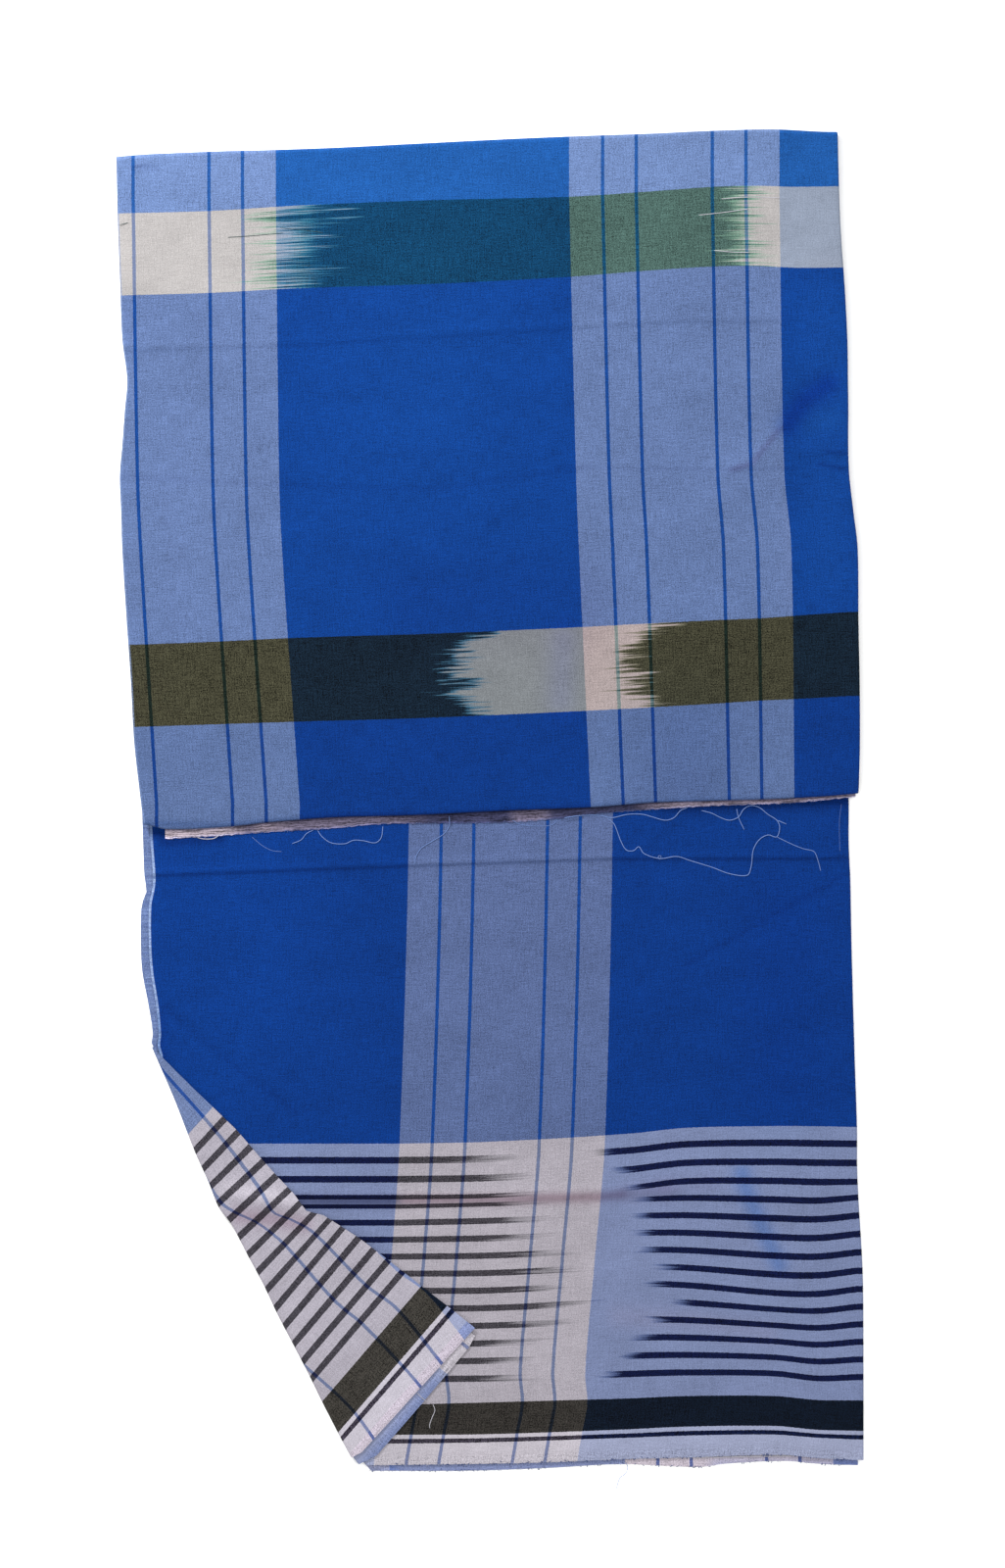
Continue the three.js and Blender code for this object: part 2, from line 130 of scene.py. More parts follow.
# Matt white emulsion on board, rolled: an even pale ground with hardly any gloss.
floorMaterial, tree, shader = newMaterial("matt_emulsion_rolled", Roughness=0.9)
stipple = addNode(tree, "TexNoise", {"Scale": studio["floorSize"] / studio["stippleSize"],
                                     "Detail": 3.0})
paint = addNode(tree, "ValToRGB", {"Fac": stipple})
fillRamp(paint, [(0, linear(studio["floorColour"], studio["stippleShade"])),
                 (1, linear(studio["floorColour"]))])
tree.links.new(paint.outputs["Color"], shader.inputs["Base Color"])
half, floorZ = studio["floorSize"] * mm / 2, -studio["floorDepth"] * mm
floorMesh = bpy.data.meshes.new("floor")
floorMesh.from_pydata([(-half, -half, floorZ), (half, -half, floorZ), (half, half, floorZ),
                       (-half, half, floorZ)], [], [(0, 1, 2, 3)])
floorMesh.materials.append(floorMaterial)
floor = bpy.data.objects.new("floor", floorMesh)
bpy.context.scene.collection.objects.link(floor)
print("camera, light and floor placed")

# The layers and their outlines, measured as the solids' are. At the start of the corner's fold
# the selvedges bulge a little more here than on the solids.

layers = {
    "wall": 1.2, "gap": 0.3, "foldReturn": 3, "hiddenHeight": 3, "underReach": 30,
    "cutClearance": 0.2, "cloth": 0.55,
}
layer = layers["wall"] + layers["gap"]
frontTop = 2 * layer - layers["gap"]
hiddenBottom = 2 * layer
hiddenTop = hiddenBottom + layers["hiddenHeight"]
upperTop = hiddenTop + layer
topFoldRadius = upperTop / 2
sideFoldRadius = frontTop / 2
upperFoldRadius = (upperTop - 3 * layer) / 2


def table(columns, *rows):
    return {name: np.array(values, float) for name, values in zip(columns.split(), zip(*rows))}


# Outer edges of the upper panel, by place along the cloth
upperSides = table(
    "at left right",
    (-22, -293, 312), (5, -296.3, 312.6), (50, -301.3, 313.6), (100, -304, 313.4),
    (150, -307.5, 312.4), (213, -311.4, 311.7), (246, -312.4, 307.9), (275, -313.4, 304.6),
    (300, -311.4, 303.7), (330, -309.2, 303.8), (356, -307.2, 303.5), (390, -311.3, 303),
    (430, -313, 301), (487, -315.2, 297.1), (545, -316.4, 295.2), (570, -317, 294.8),
)
# Lower fold and top fold of the upper panel, by place across the cloth
upperEnds = table(
    "at lower top",
    (-317, -19, 544.9), (-293, -20.5, 546.9), (-274, -24.5, 547.8), (-226, -22.8, 549.7),
    (-187, -18.7, 550.6), (-131, -14.5, 552.6), (-71, -12.9, 555.6), (17, -8.7, 560),
    (85, -6.1, 562.8), (137, -2.1, 564.6), (186, -0.6, 566.9), (240, 1, 568.2),
    (286, 3.4, 566.1), (314, 5.9, 566.8),
)
# Free edge of the frayed end below the upper panel
underEnd = table(
    "at edge",
    (-275, -32.8), (-226, -29.9), (-187, -27), (-131, -23.7), (-94, -20.3), (-35, -19.5),
    (17, -18.7), (59, -15.4), (85, -12), (137, -7.9), (194, -4.6), (254, -2.4), (310, 2.7),
)
# Selvedges of the back and front layers and their shared fold, by place along the cloth
baseSides = table(
    "at back front fold",
    (-562, -286, -279, 316.7), (-484, -286, -279, 316.7), (-401, -286, -279, 316),
    (-337, -286, -279, 312.4), (-310, -286, -279, 311.3), (-277, -286, -279, 311.2),
    (-217, -286.6, -279.1, 309.2), (-208, -287, -281.4, 309), (-198, -285.6, -280.6, 308.7),
    (-173, -289.3, -282.9, 307.9),
    (-146, -294.4, -287.2, 307.2), (-123, -295.7, -288.9, 306.6), (-89, -295.1, -288.8, 306),
    (-77, -290.9, -286.4, 305.8), (-66, -292.6, -285.3, 305.5), (-36, -293.8, -287.4, 304.2),
    (0, -295, -289, 304.2), (560, -314, -309, 291),
)
# Cut ends of the back and front layers, by place across the cloth
baseEnds = table(
    "at back front",
    (-108, -568.1, -563.4), (-16, -567.9, -562.3), (50, -565.6, -560.8), (110, -562.5, -558.4),
    (178, -564.8, -556.5), (200, -562, -555.6), (249, -559.8, -554.6), (280, -562.2, -557.5),
    (316, -563.4, -559),
)
# The turned-up corner, by place along its diagonal fold
foldStart = np.array([-286.6, -208.7])
foldEnd = np.array([-107.5, -568.1])
turnedCorner = table(
    "at bow back",
    (0, 0, 0), (48, 2.5, 16.2), (95, 6.8, 33), (125, 8, 40.6), (146, 9.8, 46.5), (165, 6.6, 52.4),
    (183, 6, 55.4), (193, 5.9, 66.9), (222, 5, 84.4), (250, 5.6, 98.5), (280, 5, 112.6),
    (311, 4.6, 127.7), (335.5, 4.8, 139.1), (389, 3.4, 0.8), (401.5, 0, 0),
)
frontTurned = table(
    "at reach",
    (0, 0), (48, 11.5), (146, 41.5), (183, 50.4), (250, 93), (341.4, 136.1), (348, 127.2),
    (372.5, 71.1), (397.5, 10.5), (401.5, 0),
)


def curve(rows, column):
    # Reads a column of a table as a smooth line through its rows
    at, value = rows["at"], rows[column]
    index = np.arange(len(at))
    before, after = np.maximum(index - 1, 0), np.minimum(index + 1, len(at) - 1)
    slope = (value[after] - value[before]) / (at[after] - at[before])

    def read(place):
        place = np.clip(np.asarray(place, float), at[0], at[-1])
        i = np.clip(np.searchsorted(at, place) - 1, 0, len(at) - 2)
        span = at[i + 1] - at[i]
        t = (place - at[i]) / span
        rise = value[i + 1] - value[i]
        pull = slope[i] * span - rise
        push = rise - slope[i + 1] * span
        return value[i] + rise * t + t * (1 - t) * ((1 - t) * pull + t * push)
    return read


def straight(rows, column):
    return lambda place: np.interp(place, rows["at"], rows[column])


def smooth(value, low, high):
    t = np.clip((value - low) / (high - low), 0, 1)
    return t * t * (3 - 2 * t)


upperLeft = curve(upperSides, "left")
upperRight = curve(upperSides, "right")
lowerFold = curve(upperEnds, "lower")
topFold = curve(upperEnds, "top")
underEdge = curve(underEnd, "edge")
backLeft = curve(baseSides, "back")
frontLeft = curve(baseSides, "front")
lengthFold = curve(baseSides, "fold")
backCut = curve(baseEnds, "back")
frontCut = curve(baseEnds, "front")
cornerBow = curve(turnedCorner, "bow")
backReach = straight(turnedCorner, "back")
frontReach = straight(frontTurned, "reach")
cornerAlong = (foldEnd - foldStart) / np.linalg.norm(foldEnd - foldStart)
cornerAcross = np.array([-cornerAlong[1], cornerAlong[0]])


def besideFold(x, y):
    dx, dy = x - foldStart[0], y - foldStart[1]
    return (dx * cornerAlong[0] + dy * cornerAlong[1],
            dx * cornerAcross[0] + dy * cornerAcross[1])


# The corner's fold starts as a small roll at the selvedge and opens to its full size
cornerRoll = {"smallest": 0.16, "grownAt": 14, "returnFrom": 5, "returnTo": 22, "easesFrom": -4}


def rollSize(along):
    smallest = cornerRoll["smallest"]
    return smallest + (1 - smallest) * smooth(along, 0, cornerRoll["grownAt"])


def rollReturn(along):
    return layers["foldReturn"] * smooth(along, cornerRoll["returnFrom"], cornerRoll["returnTo"])


def baseLeft(selvedge, y):
    # A base layer's left edge: its selvedge, drawn in where the corner's fold takes up the room
    along = (y - foldStart[1]) / cornerAlong[1]
    room = (2 * layer + layers["gap"] / 2) * rollSize(along) + rollReturn(along)
    eased = smooth(along, cornerRoll["easesFrom"], 0)
    room = (room + layers["cutClearance"] - cornerBow(along)) * eased
    diagonal = foldStart[0] + along * cornerAlong[0] + room / cornerAcross[0]
    return np.maximum(selvedge(y), diagonal)


def meet(side, alongAt, guess):
    # Where a line across the cloth meets one of its sides, from a first guess
    x = guess
    for _ in range(5):
        x = side(alongAt(x))
    return float(x)


# Folds that the cloth kept from the shelf and soft dents from handling. Each is a line of points,
# its half width and its height: above zero a ridge, below zero a trough.
upperCreases = [
    ([(-315, 384), (-160, 389), (75, 403), (150, 408), (255, 409)], 4, 0.5),
    ([(262, 297), (302, 293)], 6, 0.9),
    ([(258, 281), (300, 277)], 5, 0.4),
    ([(206, 280), (222, 285), (246, 315), (276, 343)], 7, 0.9),
    ([(249, 317), (264, 336), (283, 350), (299, 376)], 9, -0.8),
    ([(-301, 538.5), (-282, 538)], 2.5, -0.5),
    ([(-180, 560), (-150, 300), (-165, 40)], 26, 0.35),
    ([(120, 560), (150, 330), (140, 10)], 30, 0.4),
]
frontCreases = [
    ([(-141, -337), (10, -336), (116, -331), (158, -330)], 6, 1.25),
    ([(-285, -62), (-70, -53), (104, -47.5), (304, -47)], 3.4, 0.8),
    ([(-276.6, -173.1), (-262.3, -188), (-203.4, -235.3), (-163.5, -264.4)], 4, -0.7),
    ([(305.4, -61), (268.1, -81.8), (166, -139.9)], 6, -0.35),
    ([(210, -310), (232, -390), (262, -480), (266, -545)], 22, 0.8),
    ([(225, -320), (248, -400)], 10, -0.4),
    ([(-20, -80), (20, -210), (-10, -320)], 32, 0.4),
]
cornerCrease = {"at": 141, "lean": 0.68, "width": 9, "height": 2}


def creaseLift(creases, x, y):
    lift = np.zeros_like(x)
    for points, width, height in creases:
        points = np.array(points, float)
        nearest = np.full_like(x, 1e9)
        for start, end in zip(points[:-1], points[1:]):
            run = end - start
            t = ((x - start[0]) * run[0] + (y - start[1]) * run[1]) / (run @ run)
            t = np.clip(t, 0, 1)
            gapX, gapY = x - start[0] - t * run[0], y - start[1] - t * run[1]
            nearest = np.minimum(nearest, np.hypot(gapX, gapY))
        lift = lift + height * np.exp(-(nearest / width) ** 2)
    return lift


# Stains and worn places, together with painted shade and shadow along creases, folds and under the
# layers above, painted highlights on ridges, and painted light that is brighter on one side of a
# panel than the other: each a line of points, its half width and the share of red, green and blue
# that it keeps
frontStainsAndPaintedLight = [
    ([(214, -316), (217, -329), (225, -349), (234, -369), (245, -394)], 8, (0.6, 0.79, 1.02)),
    ([(110, -437), (170, -441), (235, -452)], 10, (1.08, 1.0, 0.97)),
    ([(255, -352), (290, -340)], 12, (0.95, 0.94, 0.93)),
    # Painted shadow in the gap at the left end of the frayed end
    ([(-288, -27), (-277, -29)], 4, (0.4, 0.46, 0.56)),
    # Painted shade along the tuck, pinkish brown, darker at its left end and fading out to the
    # right
    ([(-176, -340), (10, -338), (94, -336), (112, -334)], 5, (0.72, 0.6, 0.65)),
    ([(120, -333), (150, -329)], 8, (0.86, 0.79, 0.82)),
    ([(150, -329), (185, -325)], 10, (0.95, 0.91, 0.92)),
    ([(-176, -340), (-120, -340), (-80, -339)], 5, (0.55, 0.66, 0.76)),
    # Painted shade along the crease line across the border
    ([(-286, -64), (-70, -56), (104, -50), (304, -49.5)], 1.3, (0.62, 0.66, 0.72)),
    # Painted shadow below the frayed end's left part, and under the upper panel's lower fold at the
    # right
    ([(-276, -36), (-228, -33)], 4, (0.55, 0.6, 0.68)),
    ([(150, -5), (240, -3), (306, 0)], 7, (0.48, 0.55, 0.62)),
    # Painted shade in the two trough creases
    ([(-276.6, -173.1), (-262.3, -188), (-203.4, -235.3), (-163.5, -264.4)], 1.5, (0.8, 0.8, 0.84)),
    ([(305.4, -61), (268.1, -81.8), (166, -139.9)], 1.8, (0.84, 0.84, 0.88)),
    # Painted light: brighter at the left, darker at the right
    ([(-220, -60), (-210, -200)], 75, (1.12, 1.16, 1.15)),
    ([(250, -100), (250, -240)], 45, (0.84, 0.93, 1.0)),
    # A darker mark beside the corner's fold
    ([(-283, -185), (-281, -216)], 7, (0.62, 0.74, 0.86)),
]
upperStainsAndPaintedLight = [
    # Painted shade along the creases and soft folds
    ([(-315, 380), (-160, 385), (75, 399), (150, 404.5), (255, 405.5)], 1.5, (0.88, 0.89, 0.91)),
    ([(-310, 274), (-200, 268), (-45, 263), (40, 276), (80, 281)], 3, (0.9, 0.9, 0.92)),
    ([(278, 284.6), (303, 280)], 1.8, (0.6, 0.62, 0.7)),
    ([(285, 295), (302, 293.8)], 1.8, (0.62, 0.66, 0.74)),
    ([(60, 283), (120, 281), (206, 280), (258, 281)], 1.6, (0.88, 0.88, 0.9)),
    ([(206, 280), (222, 285), (246, 315)], 2.6, (0.84, 0.74, 0.8)),
    # Painted shade beside the soft fold near the right edge
    ([(252, 318), (266, 338), (286, 352)], 10, (0.45, 0.62, 0.86)),
    # Painted highlight along the right fold, and just below the shaded place
    ([(286, 190), (286, 420)], 26, (1.3, 1.16, 1.1)),
    ([(270, 318), (292, 322)], 9, (1.3, 1.14, 1.06)),
    # Painted shade in the small crease at the top left corner
    ([(-300, 536), (-282, 535.5)], 1.6, (0.6, 0.62, 0.7)),
    # Painted shade along the lower fold's edge
    ([(-292, -20), (-226, -22), (-131, -14), (-71, -12.5)], 3.2, (0.6, 0.68, 0.78)),
    ([(-71, -12.5), (17, -8.5), (137, -2), (240, 1), (312, 6)], 2, (0.75, 0.8, 0.86)),
    # Painted light: brighter towards the top, darker in the middle and at the lower right
    ([(-60, 330), (-50, 410)], 85, (1.14, 1.1, 1.06)),
    ([(-60, 165), (60, 165)], 45, (0.9, 0.87, 0.92)),
    ([(165, 60), (165, 0)], 60, (0.82, 0.86, 0.93)),
    # A bluish and a greenish tint
    ([(60, 84), (62, 136)], 13, (0.98, 0.99, 1.2)),
    ([(-160, 440), (-156, 500)], 9, (1.0, 1.05, 0.96)),
]
cornerStainsAndPaintedLight = [
    # Painted shade below the crease's ridge and a painted highlight along its top
    ([(162, 3), (180, 32), (192, 48)], 8, (0.78, 0.68, 0.73)),
    ([(134, 3), (158, 34), (172, 54)], 7, (1.15, 1.15, 1.13)),
    # A broad lighter area over the corner
    ([(110, 0), (300, 70)], 130, (1.09, 1.1, 1.13)),
]
cornerEndStains = [
    ([(364, 88), (398, 8)], 9, (0.62, 0.7, 0.88)),
]
backStains = [
    ([(-108, -566), (-86, -566)], 8, (0.5, 0.65, 0.95)),
    ([(195, -566), (310, -566)], 9, (0.66, 0.76, 0.98)),
]


def stainAndLightTint(stainsAndLight, x, y):
    tint = np.ones((*x.shape, 3))
    for points, width, keeps in stainsAndLight:
        share = creaseLift([(points, width, 1)], x, y)[..., None]
        tint *= 1 - np.clip(share, 0, 1) * (1 - np.array(keeps))
    return tint


def ripple(x, y, size):
    # Long shallow waves at odd angles, so that no large area is dead flat
    waves = [(0.021, 0.034, 0.4), (-0.043, 0.017, 1.9), (0.011, -0.058, 3.1), (0.067, 0.049, 5.0)]
    return size * sum(np.sin(a * x + b * y + c) for a, b, c in waves) / len(waves)


# How the woven stripes lie. A light warp stripe starts each repeat and a blue one follows.
repeat = {"light": 177, "blue": 251, "lines": (28.2, 56.5, 120.5, 148.8), "lineWidth": 2.9}
period = repeat["light"] + repeat["blue"]

# Where the warp stripes' edges lie across each panel, by place along it
upperStripes = table(
    "at farLine blueStart blueEnd lightEnd",
    (-2.9, -282.2, -161, 85.5, 258.1), (212.9, -295.7, -176, 75.5, 255.5),
    (279.3, -298.5, -178.5, 73, 249.4), (511.7, -302.1, -181.2, 67.2, 245.4),
)
upperCloth = (56.5, repeat["light"], period, period + repeat["light"])
frontStripes = table(
    "at lightStart blueStart",
    (-561.5, -98.3, 73.9), (-536.6, -93.8, 78), (-510.5, -89.6, 82.6), (-484.3, -91.7, 80.9),
    (-384.7, -83, 89.4), (-289.3, -76.4, 97.5), (-44.4, -68.9, 103.8), (560, -62, 112),
)
frontCloth = (0, repeat["light"])
backStripes = table(
    "at lightStart blueStart lightAgain blueAgain",
    (-565, -261.5, -84.7, 114.5, 291.3), (560, -357, -181.2, 67.2, 245.4),
)
backCloth = (0, repeat["light"], period, period + repeat["light"])
# Warp lines on the turned corner: how far each lies in from the diagonal fold
cornerLines = table(
    "at first second third",
    (0, -7, -36, -99), (90, 17.2, -13, -76), (144, 27.9, -6.5, -68), (157, 28.8, 0.8, -62),
    (172, 29.8, 13, -50), (184, 40.5, 19.5, -43), (201, 52, 26.5, -36), (262, 72.6, 43, -19),
    (291, 87.1, 55.5, -8), (347, 99.8, 72.5, 14), (390, 110, 82, 22),
)

# The weft ikat bands of the upper panel, by place across it
upperBands = table(
    "at lowEnd lowStart highEnd highStart",
    (-313.7, 61.5, 131.2, 427.3, 496.8), (-237.4, 64, 134, 429.5, 498.8),
    (-166, 66.3, 137.4, 433.3, 503.2), (-49.8, 69.8, 141, 437, 508),
    (67.2, 75, 146, 443.1, 510.9), (128, 78.1, 149.2, 447.9, 514.8),
    (190, 81.6, 152.4, 451.9, 519.3), (228.3, 84.2, 154, 452.2, 520.1),
    (260, 85.6, 156.3, 450.8, 519.3), (305, 88.2, 159.5, 451.1, 520),
)
bandCloth = (0, 71, 366, 436)

# The border above each cut end, measured from the cut: fourteen thin stripes over a broad band
border = {"line": 20, "lineWidth": 3.6, "bandEnd": 25, "bandStart": 52, "lastStripe": 72,
          "pitch": 15.2, "stripes": 14, "stripeWidth": 5.4, "start": 283,
          "wornEdge": 7, "stripeRoom": 6}
# Where its rows lie across the front layer, drawn together where the cloth is tucked
borderLie = table(
    "at cut line bandEnd bandStart stripe14 stripe9 stripe4 stripe3 start",
    (-76.4, -563.2, -543.2, -537.4, -512.1, -490.1, -415.4, -343.5, -337.1, -290.9),
    (0, -562.3, -542, -537, -510, -489.7, -415.2, -341.5, -336, -289.3),
    (116.2, -558.2, -538.3, -532.9, -506.7, -486, -409.6, -338.2, -329.1, -282.6),
    (166, -556.9, -536.4, -530.5, -504.7, -484.7, -410.8, -336.8, -323, -277.6),
    (240.7, -555.3, -535.6, -530, -504.6, -485.5, -417.5, -338.2, -322.5, -276),
    (278.1, -557.3, -538.3, -533.3, -508, -489.7, -418.3, -339.1, -323.5, -276.2),
    (311.3, -559, -539.7, -534.1, -508.4, -488.6, -414.2, -336.2, -323.5, -276.8),
)


def stripeAt(number):
    return border["lastStripe"] + border["pitch"] * (border["stripes"] - number)


borderCloth = [0, border["line"], border["bandEnd"], border["bandStart"], stripeAt(14),
               stripeAt(9), stripeAt(4), stripeAt(3), border["start"]]
# Where the dye of each stripe stops and starts again across the undyed gap
dyeGap = table(
    "stripe stop start",
    (1, 24.9, 88), (2, 37.4, 105.4), (3, 48, 118.7), (4, 44, 122.8), (5, 50.6, 122.8),
    (6, 53.1, 124.5), (7, 59.8, 128.7), (8, 76.4, 141.9), (9, 55.6, 136.1), (10, 75.5, 156),
    (11, 69.7, 134.5), (12, 46.5, 125.3), (13, 41.5, 117), (14, 33.2, 98.8),
)
# On the turned corner the same rows cross the fold at these places, each leaning back
cornerRows = table(
    "at lean cloth",
    (78.2, -0.39, border["start"]), (109.6, -0.36, stripeAt(2)), (141.4, -0.29, stripeAt(4)),
    (175.6, -0.3, stripeAt(6)), (209.3, -0.36, stripeAt(8)), (243, -0.44, stripeAt(10)),
    (277.2, -0.43, stripeAt(12)), (310.7, -0.43, stripeAt(14)),
    (331.4, -0.42, border["bandStart"]), (361.2, -0.42, border["bandEnd"]),
    (367.7, -0.42, border["line"]), (389.3, -0.39, 0),
)


def between(value, knots, cloth):
    # Reads cloth coordinates off knots that rise with value, at true scale outside them
    away = 1 if cloth[-1] > cloth[0] else -1
    least = 0.01  # knots may meet
    read = cloth[0] + away * (value - knots[0])
    for k in range(len(knots) - 1):
        t = (value - knots[k]) / np.maximum(knots[k + 1] - knots[k], least)
        read = np.where(value > knots[k], cloth[k] + t * (cloth[k + 1] - cloth[k]), read)
    return np.where(value > knots[-1], cloth[-1] + away * (value - knots[-1]), read)


def readKnots(rows, at):
    return [curve(rows, name)(at) for name in rows if name != "at"]


def acrossCloth(stripes, cloth, x, y):
    return between(x, readKnots(stripes, y), cloth)


def alongUpper(x, y):
    return between(y, readKnots(upperBands, x), bandCloth)


def alongBorder(x, y):
    return between(y, readKnots(borderLie, x), borderCloth)


def alongCorner(along, across):
    knots = [at + lean * across for at, lean in zip(cornerRows["at"], cornerRows["lean"])]
    return between(along, knots, cornerRows["cloth"])


def acrossCorner(along, across):
    knots = readKnots(cornerLines, along)[::-1]
    return between(across, knots, repeat["lines"][2::-1])


# Ink says where the weft is dyed: it is above zero there, and the further the surer. Round the
# border's undyed gap the dye fades out slowly on the left and starts sharply on the right.
fullInk = 3.0
noHem = 99.0  # far in from any selvedge
borderDye = {"stopsBy": 22, "stopFade": 34, "startsBy": 6, "startFade": 13, "band": 4}
# The upper panel's lower band is undyed in a pale middle with rounded ends, and its upper band
# is dyed between pale ends
bandDye = {"paleFrom": -17, "paleTo": 130, "bow": 26, "bandHalf": 35.5, "leftFade": 11,
           "rightFade": 12, "dyedFrom": -166, "dyedTo": 214, "fromFade": 30, "toFade": 16,
           "split": 200}


def borderInk(x, v):
    number = border["stripes"] - (v - border["lastStripe"]) / border["pitch"]
    number = np.clip(np.round(number), 1, border["stripes"])
    stops = np.interp(number, dyeGap["stripe"], dyeGap["stop"])
    starts = np.interp(number, dyeGap["stripe"], dyeGap["start"])
    ink = np.maximum((stops - borderDye["stopsBy"] - x) / borderDye["stopFade"],
                     (x - starts - borderDye["startsBy"]) / borderDye["startFade"])
    inBand = v < border["bandStart"] + borderDye["band"]
    return np.where(inBand, fullInk, np.clip(ink, -fullInk, fullInk))


def upperInk(x, v):
    dye = bandDye
    bow = dye["bow"] * ((v - bandCloth[0]) / dye["bandHalf"] - 1) ** 2 - dye["bow"] / 2
    low = np.maximum((dye["paleFrom"] + bow - x) / dye["leftFade"],
                     (x - dye["paleTo"] - bow) / dye["rightFade"])
    high = np.minimum((x - dye["dyedFrom"]) / dye["fromFade"],
                      (dye["dyedTo"] - x) / dye["toFade"])
    return np.clip(np.where(v < dye["split"], low, high), -fullInk, fullInk)


def finishMesh(name, points, faces, uv, attributes, material, smoothAngle=50, tint=None):
    mesh = bpy.data.meshes.new(name)
    mesh.from_pydata((points * mm).tolist(), [], faces)
    corners = np.zeros(len(mesh.loops), np.int32)
    mesh.loops.foreach_get("vertex_index", corners)
    layerUv = mesh.uv_layers.new(name="cloth")
    layerUv.data.foreach_set("uv", (uv[corners] * mm).astype(np.float32).ravel())
    for key, values in attributes.items():
        mesh.attributes.new(key, "FLOAT", "POINT").data.foreach_set(
            "value", np.asarray(values, np.float32))
    kept = np.ones((len(points), 4), np.float32)
    if tint is not None:
        kept[:, :3] = tint
    mesh.attributes.new("tint", "FLOAT_COLOR", "POINT").data.foreach_set("color", kept.ravel())
    mesh.shade_smooth()
    mesh.set_sharp_from_angle(angle=math.radians(smoothAngle))
    mesh.materials.append(material)
    piece = bpy.data.objects.new(name, mesh)
    bpy.context.scene.collection.objects.link(piece)
    return piece


def gridFaces(rows, cols, offset, turned):
    i, j = np.meshgrid(np.arange(rows - 1), np.arange(cols - 1), indexing="ij")
    first = (offset + i * cols + j).ravel()
    quads = np.stack([first, first + 1, first + cols + 1, first + cols], axis=1)
    return quads[:, ::-1] if turned else quads


def ringFaces(rings, sides, turned=False):
    # Quads between closed rings of points, and a cap at each end
    faces = []
    for here in range(0, (rings - 1) * sides, sides):
        for j in range(sides):
            k = (j + 1) % sides
            quad = (here + j, here + k, here + sides + k, here + sides + j)
            faces.append((quad[0], quad[3], quad[2], quad[1]) if turned else quad)
    first, last = tuple(range(sides)), tuple(range((rings - 1) * sides, rings * sides))
    return faces + ([first, last[::-1]] if turned else [first[::-1], last])


def clothShell(name, rows, material, up=1):
    # A closed thin shell from rows across the cloth. Each row gives its points on the outer face,
    # their places u and v on the flat cloth, and how they are coloured: ink, hem, which is how far
    # in from the selvedge they lie, and tint, the share of each colour that they keep. The inner
    # face lies a cloth's thickness behind the outer one.
    sheet = {key: np.array([row[key] for row in rows]) for key in rows[0]}
    outer = sheet["outer"]
    size = outer.shape[:2]
    normal = np.cross(np.gradient(outer, axis=1), np.gradient(outer, axis=0))
    normal /= np.maximum(np.linalg.norm(normal, axis=2, keepdims=True), 1e-9)
    turned = normal[..., 2].sum() * up < 0
    if turned:
        normal = -normal
    inner = outer - normal * layers["cloth"]
    count = size[0] * size[1]
    points = np.concatenate([outer.reshape(-1, 3), inner.reshape(-1, 3)])
    uv = np.tile(np.stack([sheet["u"], sheet["v"]], axis=2).reshape(-1, 2), (2, 1))
    index = np.arange(count).reshape(size)
    rim = np.concatenate([index[0, :-1], index[:-1, -1], index[-1, :0:-1], index[:0:-1, 0]])
    ahead = np.roll(rim, -1)
    sides = np.stack([ahead, rim, rim + count, ahead + count], axis=1)
    if turned:
        sides = sides[:, ::-1]
    faces = np.concatenate([
        gridFaces(*size, 0, turned), gridFaces(*size, count, not turned), sides])
    spread = {key: np.tile(np.broadcast_to(sheet.get(key, away), size).ravel(), 2)
              for key, away in (("ink", fullInk), ("hem", noHem))}
    tint = np.tile(sheet["tint"].reshape(-1, 3), (2, 1))
    return finishMesh(name, points, faces.tolist(), uv, spread, material, tint=tint)


# Plain-woven cotton, yarn-dyed in the warp and tie-dyed in the weft: matt, with threads of uneven
# thickness that give faint streaks both ways. Where a dyed weft crosses a light or a blue warp the
# eye sees their mixture, so each weft has one colour on each warp. Sizes are in millimetres, and a
# pair is along the weft and along the warp.
weave = {
    "pitch": 1.0,  # real thread spacing is about 0.36, too fine to show, so it is drawn coarser
    "streakLength": 14, "streak": 0.28, "speckleSize": 1.0, "speckle": 0.9, "dyedGrain": 2.4,
    "mottleSize": (65, 39), "mottle": 0.16, "yarnWander": 0.3, "wanderSize": (9, 2.2),
    "bundleSize": (45, 1.7), "hairSize": (70, 0.9), "patchSize": (140, 7), "ribSize": (60, 1.6),
    "overUnder": 0.35, "threadHeight": 0.22, "crumpleSize": 16, "crumpleHeight": 0.9,
    "roughness": 0.9, "sheen": 0.03, "specular": 0.04, "gain": 0.497,
}
mostCreep = 4.0  # a colour channel holds up to 1, so creep is stored as a share of this


def cottonMaterial(name):
    return newMaterial(name, Roughness=weave["roughness"], Sheen_Weight=weave["sheen"],
                       Sheen_Roughness=0.5, Specular_IOR_Level=weave["specular"])


